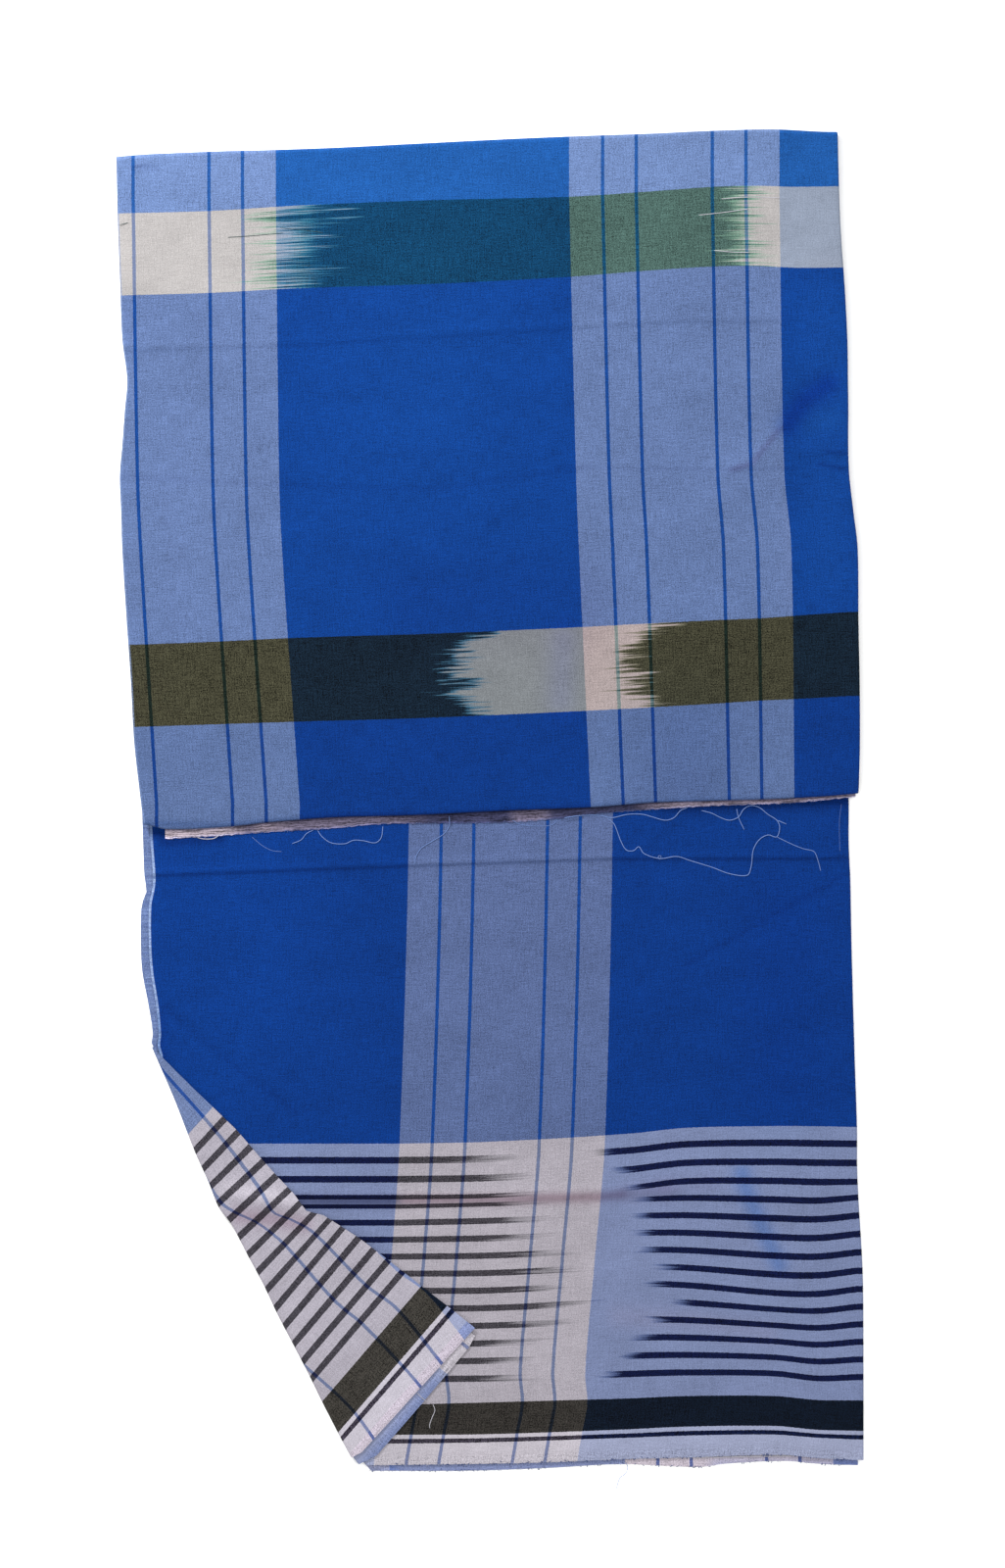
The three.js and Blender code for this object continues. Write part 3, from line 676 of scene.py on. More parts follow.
def checkedCotton(name, zones, selvedge):
    # Each zone runs on from its start along the cloth: "none" has no dye, "all" is dyed through
    # and "stripes" in the border's stripes. Its wefts are undyed, half dyed and dyed, each with
    # its colour over light warp, blue warp and the thin lines. creep is how unevenly dye spreads,
    # and fine is how much of that goes thread by thread.
    material, tree, shader = cottonMaterial(name)
    place = addNode(tree, "UVMap", {}, uv_map="cloth")
    millimetres = addNode(tree, "VectorMath", {0: place, 3: 1000.0}, operation="SCALE")
    axes = addNode(tree, "SeparateXYZ", {0: millimetres}).outputs

    def unevenness(size, detail, shift=0.0):
        # Soft noise of a size each way, shifted so that no two patterns run together
        stretch = addNode(tree, "VectorMath",
                          {0: millimetres, 1: (1 / size[0], 1 / size[1], 0)},
                          operation="MULTIPLY")
        moved = addNode(tree, "VectorMath", {0: stretch, 1: (shift, shift * 0.7, 0)},
                        operation="ADD")
        return addNode(tree, "TexNoise", {"Vector": moved, "Scale": 1.0, "Detail": detail,
                                          "Roughness": 0.55}, noise_dimensions="2D")

    warpThreads = unevenness((weave["pitch"], weave["streakLength"]), 2.0)
    weftThreads = unevenness((weave["streakLength"], weave["pitch"]), 2.0, 31.0)

    # Edges of stripes and bands wander a little from thread to thread
    wandering = []
    wander, size = weave["yarnWander"], weave["wanderSize"]
    for axis, reach, shift in (("X", size, 5.0), ("Y", size[::-1], 12.0)):
        away = addNode(tree, "Math", {0: unevenness(reach, 1.0, shift), 1: 2 * wander,
                                      2: -wander}, operation="MULTIPLY_ADD")
        wandering.append(addNode(tree, "Math", {0: axes[axis], 1: away}, operation="ADD"))
    u, v = wandering

    # Warp: light, blue, and the thin dark lines in the light stripe
    inRepeat = addNode(tree, "Math", {0: u, 1: period}, operation="FLOORED_MODULO")
    blueWarp = addNode(tree, "Math", {0: inRepeat, 1: repeat["light"]},
                       operation="GREATER_THAN")
    lineWarp = 0.0
    for line in repeat["lines"]:
        onLine = addNode(tree, "Math", {0: inRepeat, 1: line, 2: repeat["lineWidth"] / 2},
                         operation="COMPARE")
        lineWarp = addNode(tree, "Math", {0: onLine, 1: lineWarp}, operation="ADD")

    # Weft: which zone a point is in, then the colours of that zone
    zoneShare = 0.5 / len(zones)
    for later in zones[1:]:
        begun = addNode(tree, "Math", {0: v, 1: later["from"]}, operation="GREATER_THAN")
        zoneShare = addNode(tree, "Math", {0: begun, 1: 1 / len(zones), 2: zoneShare},
                            operation="MULTIPLY_ADD")

    def byZone(values):
        ramp = addNode(tree, "ValToRGB", {"Fac": zoneShare})
        ramp.color_ramp.interpolation = "CONSTANT"
        fillRamp(ramp, [(k / len(values), value) for k, value in enumerate(values)])
        return ramp

    colours = {(weft, warp): byZone([linear(each[weft][k], weave["gain"]) for each in zones])
               for weft in ("plain", "tip", "dyed")
               for k, warp in enumerate(("light", "blue", "line"))}
    dyeing = {"none": (0, 0), "all": (1, 0), "stripes": (0, 1)}
    dye = byZone([(*dyeing[each["dye"]], each["grain"], 1) for each in zones])
    through, striped, grainShare = addNode(tree, "SeparateColor", {0: dye}).outputs
    fromStripe = addNode(tree, "Math", {0: v, 1: border["lastStripe"] - border["pitch"] / 2},
                         operation="SUBTRACT")
    fromStripe = addNode(tree, "Math", {0: fromStripe, 1: border["pitch"]},
                         operation="FLOORED_MODULO")
    inStripe = addNode(tree, "Math", {0: fromStripe, 1: border["pitch"] / 2,
                                      2: border["stripeWidth"] / 2}, operation="COMPARE")
    dyed = addNode(tree, "Math", {0: striped, 1: inStripe, 2: through},
                   operation="MULTIPLY_ADD")

    # The dye creeps further along some threads than others
    spread = byZone([(each["creep"] / mostCreep, each["fine"], 0, 1) for each in zones])
    creepShare, fineShare, _ = addNode(tree, "SeparateColor", {0: spread}).outputs
    creep = addNode(tree, "Math", {0: creepShare, 1: mostCreep}, operation="MULTIPLY")
    bundles, hairs, patches = [
        addNode(tree, "Math", {0: unevenness(size, detail, shift), 1: 0.5},
                operation="SUBTRACT")
        for size, detail, shift in ((weave["bundleSize"], 2.0, 3.0),
                                    (weave["hairSize"], 2.0, 6.0),
                                    (weave["patchSize"], 1.0, 9.0))]
    finer = addNode(tree, "Math", {0: hairs, 1: bundles}, operation="SUBTRACT")
    byThread = addNode(tree, "Math", {0: finer, 1: fineShare, 2: bundles},
                       operation="MULTIPLY_ADD")
    uneven = addNode(tree, "Math", {0: byThread, 1: 2.0, 2: patches},
                     operation="MULTIPLY_ADD")
    ink = addNode(tree, "Attribute", {}, attribute_name="ink").outputs["Fac"]
    reached = addNode(tree, "Math", {0: uneven, 1: creep, 2: ink}, operation="MULTIPLY_ADD")
    soaked = {}
    for weft, least, most in (("tip", -0.8, 0.1), ("dyed", -0.1, 0.7)):
        share = addNode(tree, "MapRange", {"Value": reached, "From Min": least,
                                           "From Max": most},
                        interpolation_type="SMOOTHSTEP")
        soaked[weft] = addNode(tree, "Math", {0: share, 1: dyed}, operation="MULTIPLY")
    woven = {}
    for warp in ("light", "blue", "line"):
        woven[warp] = colours["plain", warp]
        for weft in ("tip", "dyed"):
            woven[warp] = addNode(tree, "Mix", {0: soaked[weft], 6: woven[warp],
                                                7: colours[weft, warp]}, data_type="RGBA")
    cloth = addNode(tree, "Mix", {0: blueWarp, 6: woven["light"], 7: woven["blue"]},
                    data_type="RGBA")
    cloth = addNode(tree, "Mix", {0: lineWarp, 6: cloth, 7: woven["line"]}, data_type="RGBA")

    # The selvedge, where the weft turns back: a paler cord with ribs across it
    hem = addNode(tree, "Attribute", {}, attribute_name="hem").outputs["Fac"]
    nearHem = addNode(tree, "MapRange", {"Value": hem, "From Min": selvedge["width"] + 0.4,
                                         "From Max": selvedge["width"]})
    ribbed = addNode(tree, "Mix", {0: unevenness(weave["ribSize"], 0.0, 7.0),
                                   6: linear(selvedge["dark"], weave["gain"]),
                                   7: linear(selvedge["light"], weave["gain"])},
                     data_type="RGBA")
    covered = addNode(tree, "Math", {0: nearHem, 1: selvedge["cover"]}, operation="MULTIPLY")
    cloth = addNode(tree, "Mix", {0: covered, 6: cloth, 7: ribbed}, data_type="RGBA")

    # Stains, with painted shade, shadow and highlight along creases and folds, and painted light
    # across the panels
    tint = addNode(tree, "Attribute", {}, attribute_name="tint")
    cloth = addNode(tree, "Mix", {0: 1.0, 6: cloth, 7: tint}, data_type="RGBA",
                    blend_type="MULTIPLY")

    # Thread by thread unevenness, stronger where light and dark threads cross
    speckle = unevenness((weave["speckleSize"], weave["speckleSize"]), 3.0, 17.0)
    grain = 0.0
    for threads, size in ((warpThreads, weave["streak"]), (weftThreads, weave["streak"]),
                          (speckle, weave["speckle"])):
        lighter = addNode(tree, "Math", {0: threads, 1: 2 * size, 2: -size},
                          operation="MULTIPLY_ADD")
        grain = addNode(tree, "Math", {0: lighter, 1: grain}, operation="ADD")
    tone = addNode(tree, "Math", {0: unevenness(weave["mottleSize"], 3.0, 23.0),
                                  1: 2 * weave["mottle"], 2: 1 - weave["mottle"]},
                   operation="MULTIPLY_ADD")
    crossed = addNode(tree, "Math", {0: soaked["dyed"], 1: weave["dyedGrain"], 2: 1.0},
                      operation="MULTIPLY_ADD")
    grain = addNode(tree, "Math", {0: grain, 1: crossed}, operation="MULTIPLY")
    tone = addNode(tree, "Math", {0: grain, 1: grainShare, 2: tone}, operation="MULTIPLY_ADD")
    cloth = addNode(tree, "VectorMath", {0: cloth, 3: tone}, operation="SCALE")
    tree.links.new(cloth.outputs["Vector"], shader.inputs["Base Color"])

    # Relief: threads over and under each other, and the soft crumple of washed cotton
    waves = []
    for axis in "XY":
        turn = addNode(tree, "Math", {0: axes[axis], 1: math.pi / weave["pitch"]},
                       operation="MULTIPLY")
        waves.append(addNode(tree, "Math", {0: turn}, operation="SINE"))
    over = addNode(tree, "Math", dict(enumerate(waves)), operation="MULTIPLY")
    slubs = addNode(tree, "Math", {0: warpThreads, 1: weftThreads}, operation="ADD")
    height = addNode(tree, "Math", {0: over, 1: weave["overUnder"], 2: slubs},
                     operation="MULTIPLY_ADD")
    threads = addNode(tree, "Bump", {"Height": height, "Strength": 0.35,
                                     "Distance": weave["threadHeight"] * mm})
    crumple = unevenness((weave["crumpleSize"], weave["crumpleSize"]), 3.0, 41.0)
    crumpled = addNode(tree, "Bump", {"Height": crumple, "Strength": 0.5,
                                      "Distance": weave["crumpleHeight"] * mm,
                                      "Normal": threads})
    tree.links.new(crumpled.outputs["Normal"], shader.inputs["Normal"])
    return material


def zone(start, dye, plain, tip=None, dyed=None, grain=1.0, creep=1.8, fine=0.0):
    return {"from": start, "dye": dye, "plain": plain, "tip": tip or plain,
            "dyed": dyed or plain, "grain": grain, "creep": creep, "fine": fine}


upperCotton = checkedCotton(
    "yarn_dyed_plain_weave_cotton_upper", [
        zone(-200, "none", ("#6076a5", "#093a8a", "#153f8a")),
        zone(0, "all", ("#b8a9a7", "#868b8f", "#84918f"), ("#7c7866", "#3f6d88", "#48686c"),
             ("#444333", "#112232", "#16241f"), grain=0.7, creep=3.0),
        zone(bandCloth[1], "none", ("#667cac", "#0c4192", "#174793")),
        zone(bandCloth[2], "all", ("#bbb7b6", "#949fb3", "#7582a4"),
             ("#80a893", "#37799a", "#3a7f93"), ("#4d6963", "#0b4066", "#0f4a6e"), grain=0.5,
             creep=2.6, fine=1.0),
        # Lighter blues than the lowest zone's, in part painted sheen towards the top fold
        zone(bandCloth[3], "none", ("#728bbd", "#1f5ba8", "#2659a2"))],
    {"width": 1.2, "cover": 0.5, "light": "#9db4de", "dark": "#6c86b8"})
endWeft = ("#d2ccd6", "#a9b0cf", "#8089b0")
stripeWeft = ("#b9b3bd", "#8390b8", "#737ea0")
stripeDyes = (("#96929a", "#566694", "#4b557c"), ("#46434a", "#0e173f", "#1d2344"))
lineLow, lineHigh = [border["line"] + side * border["lineWidth"] / 2 for side in (-1, 1)]


def borderZones(edge, band, field):
    return [
        zone(-40, "none", edge),
        zone(border["wornEdge"], "none", endWeft, grain=0.5),
        zone(lineLow, "all", endWeft, dyed=("#3f3a46", "#0d1738", "#171f3e")),
        zone(lineHigh, "none", endWeft, grain=0.5),
        zone(border["bandEnd"], "all", endWeft, dyed=band, grain=0.7),
        zone(border["bandStart"], "none", stripeWeft, grain=0.6),
        zone(stripeAt(border["stripes"]) - border["stripeRoom"], "stripes", stripeWeft,
             *stripeDyes, grain=0.6, creep=1.4, fine=0.6),
        zone(stripeAt(1) + border["stripeRoom"], "none", stripeWeft, grain=0.6),
        zone(border["start"], "none", field),
    ]


frontCotton = checkedCotton(
    "yarn_dyed_plain_weave_cotton_front",
    borderZones(endWeft, ("#383532", "#0c1727", "#161d28"), ("#5f71a0", "#093a8a", "#174898")),
    {"width": 1.8, "cover": 0.9, "light": "#b4c8ee", "dark": "#7d95c9"})
backCotton = checkedCotton(
    "yarn_dyed_plain_weave_cotton_back",
    borderZones(("#d6cbd8", "#8f9bc8", "#6471a8"), ("#403d38", "#0c1727", "#1a1f28"),
                ("#7283ac", "#0d3f90", "#2a4f98")),
    {"width": 7.0, "cover": 0.85, "light": "#899fce", "dark": "#586da8"})
print("woven cottons made")


def foldedRow(left, right, radius, curl, back, steps):
    # One row across a panel with a folded right edge: place across, depth below the outer face,
    # and place across when rolled out flat
    start = right - radius
    angles = curl * np.arange(1, 11) / 10
    flat = np.linspace(left, start, steps + 1)
    tail = (start + radius * math.sin(curl) + back * math.cos(curl),
            radius - radius * math.cos(curl) + back * math.sin(curl))
    across = np.r_[flat, start + radius * np.sin(angles), tail[0]]
    depth = np.r_[np.zeros(steps + 1), radius - radius * np.cos(angles), tail[1]]
    rolled = np.r_[flat, start + radius * angles, start + radius * curl + back]
    return across, depth, rolled


def declare(piece, node, slot, flat, restsOn, **more):
    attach(piece, "root")
    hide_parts(node)


# Upper panel

upper = {
    "spacing": 3.2, "creaseSpacing": 1.5, "creasesAt": [(272, 302), (378, 410)],
    "acrossSteps": 157, "foldSteps": 18, "droop": 0.85, "droopWidth": 9, "waves": 0.22,
    "endFade": 12, "foldFade": 14, "leastCurl": 60, "curlFades": 24,
}


def lowerLine(x):
    return lowerFold(x) + upperFoldRadius


def topLine(x):
    return topFold(x) - topFoldRadius


def shares(low, high, spacing, creasesAt, creaseSpacing):
    # Shares of the way from low to high, closer together where a crease crosses
    made = np.linspace(0, 1, int((high - low) / spacing))
    for first, last in creasesAt:
        ends = (np.array([first, last]) - low) / (high - low)
        fine = np.linspace(*ends, int((last - first) / creaseSpacing))
        made = np.r_[made[(made < ends[0]) | (made > ends[1])], fine]
    return np.sort(made)


def panelLine(end, share, bent, beyond):
    # A line across the panel: a share of the way up its flat part, or round the fold at one end
    def place(x):
        if end == "flat":
            return lowerLine(x) + share * (topLine(x) - lowerLine(x))
        return (lowerLine(x) if end == "lower" else topLine(x)) + bent + beyond
    return place


def makeUpperPanel():
    # Each row's part of the panel, its turn round that fold, and the share of the way up or how
    # far it lies beyond the fold
    turns = np.radians(np.linspace(-180, -10, upper["foldSteps"]))
    flatPart = shares(-10, 558, upper["spacing"], upper["creasesAt"], upper["creaseSpacing"])
    stations = [("lower", -math.pi, layers["foldReturn"])]
    stations += [("lower", turn, 0.0) for turn in turns]
    stations += [("flat", 0.0, share) for share in flatPart]
    stations += [("top", -turn, 0.0) for turn in turns[::-1]]
    stations += [("top", math.pi, -layers["foldReturn"])]
    rows = []
    for end, turn, extra in stations:
        radius = upperFoldRadius if end == "lower" else topFoldRadius
        along = panelLine(end, extra, radius * math.sin(turn), extra)
        rolledAlong = panelLine(end, extra, radius * turn, -extra)
        right, left = meet(upperRight, along, 305), meet(upperLeft, along, -305)
        above = float(along(right) - lowerLine(right))
        fade = 0.0 if end == "lower" else float(smooth(above, 0, upper["curlFades"]))
        leastCurl = math.radians(upper["leastCurl"])
        across, depth, rolled = foldedRow(
            left, right, upperFoldRadius, leastCurl + fade * (math.pi - leastCurl),
            layers["foldReturn"] * fade ** 4 + 0.01, upper["acrossSteps"])
        y = along(across)
        face = upperTop - radius * (1 - math.cos(turn))
        if end == "flat":
            ends = (smooth(y - lowerLine(across), 0, upper["endFade"])
                    * smooth(topLine(across) - y, 0, upper["endFade"]))
            offFold = smooth(upperRight(y) - across, upperFoldRadius, upper["foldFade"])
            lift = creaseLift(upperCreases, across, y) + ripple(across, y, upper["waves"])
            lift = lift * ends * offFold
            lift -= upper["droop"] * (1 - smooth(across - left, 0, upper["droopWidth"])) * ends
            face = upperTop + lift
        flatY = rolledAlong(across)
        v = alongUpper(rolled, flatY)
        rows.append({
            "outer": np.stack([across, y - depth * math.sin(turn),
                               face - depth * math.cos(turn)], axis=1),
            "u": acrossCloth(upperStripes, upperCloth, rolled, flatY), "v": v,
            "ink": upperInk(rolled, v), "hem": rolled - left,
            "tint": stainAndLightTint(upperStainsAndPaintedLight, rolled, flatY)})
    panel = clothShell("upper_cloth", rows, upperCotton)
    declare(panel, "upper_panel", "checked_cotton", (0.623, 0.598), ["hidden_cloth", "end_cloth"])


makeUpperPanel()
print("upper panel made")


# Front and back layers

base = {
    "spacing": 3.4, "backSpacing": 7, "hiddenSpacing": 18, "creaseSpacing": 1.2,
    "creasesAt": [(-348, -318), (-67, -42)], "from": -560, "shownUpTo": 10, "to": 551,
    "acrossSteps": 142, "backAcrossSteps": 85, "droop": 1.0, "droopWidth": 9, "waves": 0.2,
    "cornerFade": (8, 20), "underFade": (3, 16), "foldFade": 16, "droopFade": (2, 25),
}


def baseShares(spacing, creasesAt):
    # Close together where the layer shows, and wide apart under the upper panel
    shown = (base["shownUpTo"] - base["from"]) / (base["to"] - base["from"])
    near = shares(base["from"], base["shownUpTo"], spacing, creasesAt, base["creaseSpacing"])
    rest = shares(base["shownUpTo"], base["to"], base["hiddenSpacing"], [], 1)
    return np.r_[near * shown, shown + rest[1:] * (1 - shown)]


def baseLine(cut, share):
    endRoom = topFoldRadius + layers["foldReturn"] + layers["gap"]

    def place(x):
        return cut(x) + share * (topFold(x) - endRoom - cut(x))
    return place


def baseEdges(selvedge, along):
    def leftEdge(y):
        return baseLeft(selvedge, y)
    return meet(leftEdge, along, -200), meet(lengthFold, along, 310)


def makeFrontLayer():
    rows = []
    for share in baseShares(base["spacing"], base["creasesAt"]):
        along = baseLine(frontCut, share)
        left, right = baseEdges(frontLeft, along)
        across, depth, rolled = foldedRow(left, right, sideFoldRadius, math.pi,
                                          layers["foldReturn"], base["acrossSteps"])
        y = along(across)
        cornerPlace, cornerIn = besideFold(across, y)
        offCorner = smooth(cornerIn - frontReach(np.maximum(cornerPlace, 0)),
                           *base["cornerFade"])
        offUpper = smooth(underEdge(across) - y, *base["underFade"])
        offFold = smooth(lengthFold(y) - across, sideFoldRadius, base["foldFade"])
        lift = (creaseLift(frontCreases, across, y) + ripple(across, y, base["waves"])
                ) * offCorner * offUpper * offFold
        toSelvedge = across - frontLeft(y)
        droop = 1 - smooth(np.minimum(toSelvedge, y - frontCut(across)), 0, base["droopWidth"])
        droop = droop * smooth(right - across, *base["droopFade"]) * offCorner
        onFace = depth < 0.01
        lift = np.where(onFace, lift - base["droop"] * droop, 0)
        v = alongBorder(rolled, y)
        rows.append({
            "outer": np.stack([across, y, frontTop + lift - depth], axis=1),
            "u": acrossCloth(frontStripes, frontCloth, rolled, y), "v": v,
            "ink": borderInk(rolled, v), "hem": toSelvedge,
            "tint": stainAndLightTint(frontStainsAndPaintedLight, across, y)})
    sheet = clothShell("front_cloth", rows, frontCotton)
    declare(sheet, "front_layer", "checked_cotton", (0.6, 1.12), ["back_cloth"])


def makeBackLayer():
    foldRoom = sideFoldRadius + layers["foldReturn"] + layers["gap"]
    rows = []
    for share in baseShares(base["backSpacing"], []):
        along = baseLine(backCut, share)
        left, right = baseEdges(backLeft, along)
        across = np.linspace(left, right - foldRoom, base["backAcrossSteps"] + 1)
        y = along(across)
        v = alongBorder(across, y - backCut(across) + frontCut(across))
        rows.append({
            "outer": np.stack([across, y, np.zeros_like(y)], axis=1),
            "u": acrossCloth(backStripes, backCloth, across, y), "v": v,
            "ink": borderInk(across, v), "hem": across - backLeft(y),
            "tint": stainAndLightTint(backStains, across, y)})
    sheet = clothShell("back_cloth", rows, backCotton, up=-1)
    declare(sheet, "back_layer", "checked_cotton", (0.6, 1.12), ["floor"])


makeFrontLayer()
makeBackLayer()
print("front and back layers made")


# The turned-up corner

corner = {
    "spacing": 2.6, "acrossSteps": 50, "backTo": 389, "frontTo": 397, "rollRise": 0.57,
    "leastWidth": 0.8, "droop": 0.5, "droopWidth": 7, "droopFade": 8, "waves": 0.25,
    "waveLength": 3, "waveFade": 12, "creaseFade": 8,
}


def cornerLift(along, across):
    crease = cornerCrease
    away = (along - crease["at"] - crease["lean"] * across) / crease["width"]
    return crease["height"] * np.exp(-away ** 2) * smooth(across, 0, corner["creaseFade"])


def backCornerCloth(along, across):
    return acrossCorner(along, across), alongCorner(along, across)


def frontCornerCloth(along, across):
    # Measured from its cut end: from the tip towards the fold, and in from the edge
    tip, low = np.array([341.4, 136.1]), np.array([397.5, 10.5])
    run = (low - tip) / np.linalg.norm(low - tip)
    fromTip = (along - tip[0]) * run[0] + (across - tip[1]) * run[1]
    inward = (along - tip[0]) * run[1] - (across - tip[1]) * run[0]
    lightFromTip = 40
    return repeat["light"] - lightFromTip + fromTip, np.abs(inward)


# Each layer's fold radius, how far it reaches in from the fold and what it is made of
cornerBack = {
    "name": "corner_back_cloth", "radius": 2 * layer - layers["gap"] / 2, "reach": backReach,
    "from": 0.7, "to": 387, "bends": (183, 193, 335.5), "creased": 1.0,
    "stainsAndLight": cornerStainsAndPaintedLight, "material": backCotton, "cloth": backCornerCloth,
}
cornerFront = {
    "name": "corner_front_cloth", "radius": sideFoldRadius, "reach": frontReach,
    "from": 5.5, "to": 395, "bends": (183, 250, 341.4, 348, 372.5), "creased": 0.6,
    "stainsAndLight": cornerEndStains, "material": frontCotton, "cloth": frontCornerCloth,
}


def makeTurnedLayer(turned):
    middle = 2 * layer - layers["gap"] / 2
    start, end, steps = turned["from"], turned["to"], corner["acrossSteps"]
    stops = np.unique(np.r_[np.linspace(start, end, int((end - start) / corner["spacing"])),
                            turned["bends"]])
    angles = math.pi * np.arange(13) / 12
    rows = []
    for along in stops:
        size = float(rollSize(along))
        tuck = float(rollReturn(along)) + 0.05
        radius = turned["radius"] * size
        height = middle + corner["rollRise"] * (1 - size)
        axis = middle * size - float(cornerBow(along))
        edge = max(float(turned["reach"](along)), axis + corner["leastWidth"])
        flatPart = np.linspace(axis, edge, steps + 1)[1:]
        across = np.r_[axis + tuck, axis - radius * np.sin(angles), flatPart]
        z = np.r_[height - radius, height - radius * np.cos(angles),
                  np.full(steps, height + radius)]
        rolled = np.r_[axis - radius * math.pi - tuck, axis - radius * (math.pi - angles),
                       flatPart]
        fromEdge = np.minimum(edge - across, (stops[-1] - along) * 0.8)
        lift = turned["creased"] * cornerLift(along, across)
        lift += ripple(corner["waveLength"] * across, corner["waveLength"] * along,
                       corner["waves"]) * smooth(across, 0, corner["waveFade"])
        lift -= corner["droop"] * (1 - smooth(fromEdge, 0, corner["droopWidth"])) * smooth(
            across - axis, 0, corner["droopFade"])
        z = z + np.where(z > height, lift * size, 0)
        xy = (foldStart[None, :] + along * cornerAlong[None, :]
              + across[:, None] * cornerAcross[None, :])
        u, v = turned["cloth"](np.full_like(rolled, along), rolled)
        rows.append({"outer": np.concatenate([xy, z[:, None]], axis=1), "u": u, "v": v,
                     "tint": stainAndLightTint(turned["stainsAndLight"], np.full_like(across, along), across)})
    return clothShell(turned["name"], rows, turned["material"])


declare(makeTurnedLayer(cornerBack), "corner_back_turned", "checked_cotton", (0.39, 0.155),
        ["corner_front_cloth"], area=0.033)
declare(makeTurnedLayer(cornerFront), "corner_front_turned", "white_weft_end", (0.39, 0.15),
        ["front_cloth"], area=0.031)
print("turned corner made")


# The frayed end under the upper panel

# Frayed cotton, its weft ends washed thin: streaky along the edge and here and there rubbed white,
# pale where the last threads hang loose, and darkened by painted shade in the hollow below the fold
# above it. Its darkest tone is painted shadow from that fold, and the greyer middle tones are in
# part painted shade.
endTone = {"worn": "#dccbd8", "pale": "#a89aac", "muted": "#807790", "shaded": "#4a4b6c"}
endTones = [
    (-275, "worn"), (-226, "worn"), (-214, "pale"), (-205, "muted"), (-192, "pale"),
    (-165, "muted"), (-80, "muted"), (-50, "shaded"), (14, "shaded"), (24, "muted"),
    (44, "muted"), (54, "shaded"), (120, "shaded"), (155, "pale"), (290, "pale"), (312, "worn"),
]
under = {
    "spacing": 2.8, "edgeRows": 24, "edgeShare": 0.32, "innerRows": 7, "droop": 0.95,
    "droopWidth": 7, "wander": 0.5, "hollow": 2.4, "paintedShadeKeeps": (0.3, 0.32, 0.42),
    "loose": 1.6, "looseKeeps": (1.15, 1.25, 1.45),
    "streakLength": 22.2, "streakWidth": 0.91, "crumbSize": 2.38, "streakHeight": 0.6,
}
underTop = hiddenBottom + layers["wall"]


def frayedCotton(name):
    material, tree, shader = cottonMaterial(name)
    place = addNode(tree, "UVMap", {}, uv_map="cloth")
    axes = addNode(tree, "SeparateXYZ", {0: place}).outputs
    low, high = endTones[0][0], endTones[-1][0]
    along = addNode(tree, "MapRange", {"Value": axes["X"], "From Min": low * mm,
                                       "From Max": high * mm})
    colour = addNode(tree, "ValToRGB", {"Fac": along})
    fillRamp(colour, [((at - low) / (high - low), linear(endTone[tone], weave["gain"]))
                      for at, tone in endTones])
    perMetre = (1000 / under["streakLength"], 1000 / under["streakWidth"], 0)
    stretched = addNode(tree, "VectorMath", {0: place, 1: perMetre}, operation="MULTIPLY")
    streaks = addNode(tree, "TexNoise", {"Vector": stretched, "Scale": 1.0, "Detail": 3.0},
                      noise_dimensions="2D")
    crumbs = addNode(tree, "TexNoise", {"Vector": place, "Scale": 1000 / under["crumbSize"],
                                        "Detail": 3.0}, noise_dimensions="2D")
    both = addNode(tree, "Math", {0: streaks, 1: 2.4, 2: crumbs}, operation="MULTIPLY_ADD")
    tone = addNode(tree, "MapRange", {"Value": both, "From Min": 1.25, "From Max": 2.15,
                                      "To Min": 0.35, "To Max": 1.65})
    tint = addNode(tree, "Attribute", {}, attribute_name="tint")
    tinted = addNode(tree, "Mix", {0: 1.0, 6: colour, 7: tint}, data_type="RGBA",
                     blend_type="MULTIPLY")
    uneven = addNode(tree, "VectorMath", {0: tinted, 3: tone}, operation="SCALE")
    tree.links.new(uneven.outputs["Vector"], shader.inputs["Base Color"])
    relief = addNode(tree, "Bump", {"Height": both, "Strength": 0.6,
                                    "Distance": under["streakHeight"] * mm})
    tree.links.new(relief.outputs["Normal"], shader.inputs["Normal"])
    return material


def makeUnderEnd():
    first, last = underEnd["at"][0], underEnd["at"][-1]
    across = np.linspace(first, last, int((last - first) / under["spacing"]))
    ragged = under["wander"] * (np.sin(across * 0.61) + np.sin(across * 1.37 + 2)) / 2
    low, high = underEdge(across) + ragged, lowerFold(across) + layers["underReach"]
    atEdge = np.linspace(0, under["edgeShare"], under["edgeRows"])
    inner = np.linspace(under["edgeShare"], 1, under["innerRows"])[1:]
    rows = []
    for share in np.r_[atEdge, inner]:
        y = low + share * (high - low)
        z = underTop - under["droop"] * (1 - smooth(y - low, 0, under["droopWidth"]))
        # Painted shade: darkened in the hollow just below the upper panel's lower fold
        inPaintedShade = 1 - smooth(lowerFold(across) - y, 0.2, under["hollow"])
        isLoose = 1 - smooth(y - low, 0.4, under["loose"])
        keeps = 1 - inPaintedShade[:, None] * (1 - np.array(under["paintedShadeKeeps"]))
        keeps *= 1 + isLoose[:, None] * (np.array(under["looseKeeps"]) - 1)
        rows.append({"outer": np.stack([across, y, z], axis=1), "u": across, "v": y - low,
                     "tint": keeps})
    strip = clothShell("end_cloth", rows, frayedCotton("plain_weave_cotton_frayed_end"))
    declare(strip, "under_end", "white_weft_end", (0.587, 0.043), ["front_cloth"])


makeUnderEnd()


# The turned-in layers under the upper panel, which show only at their edges

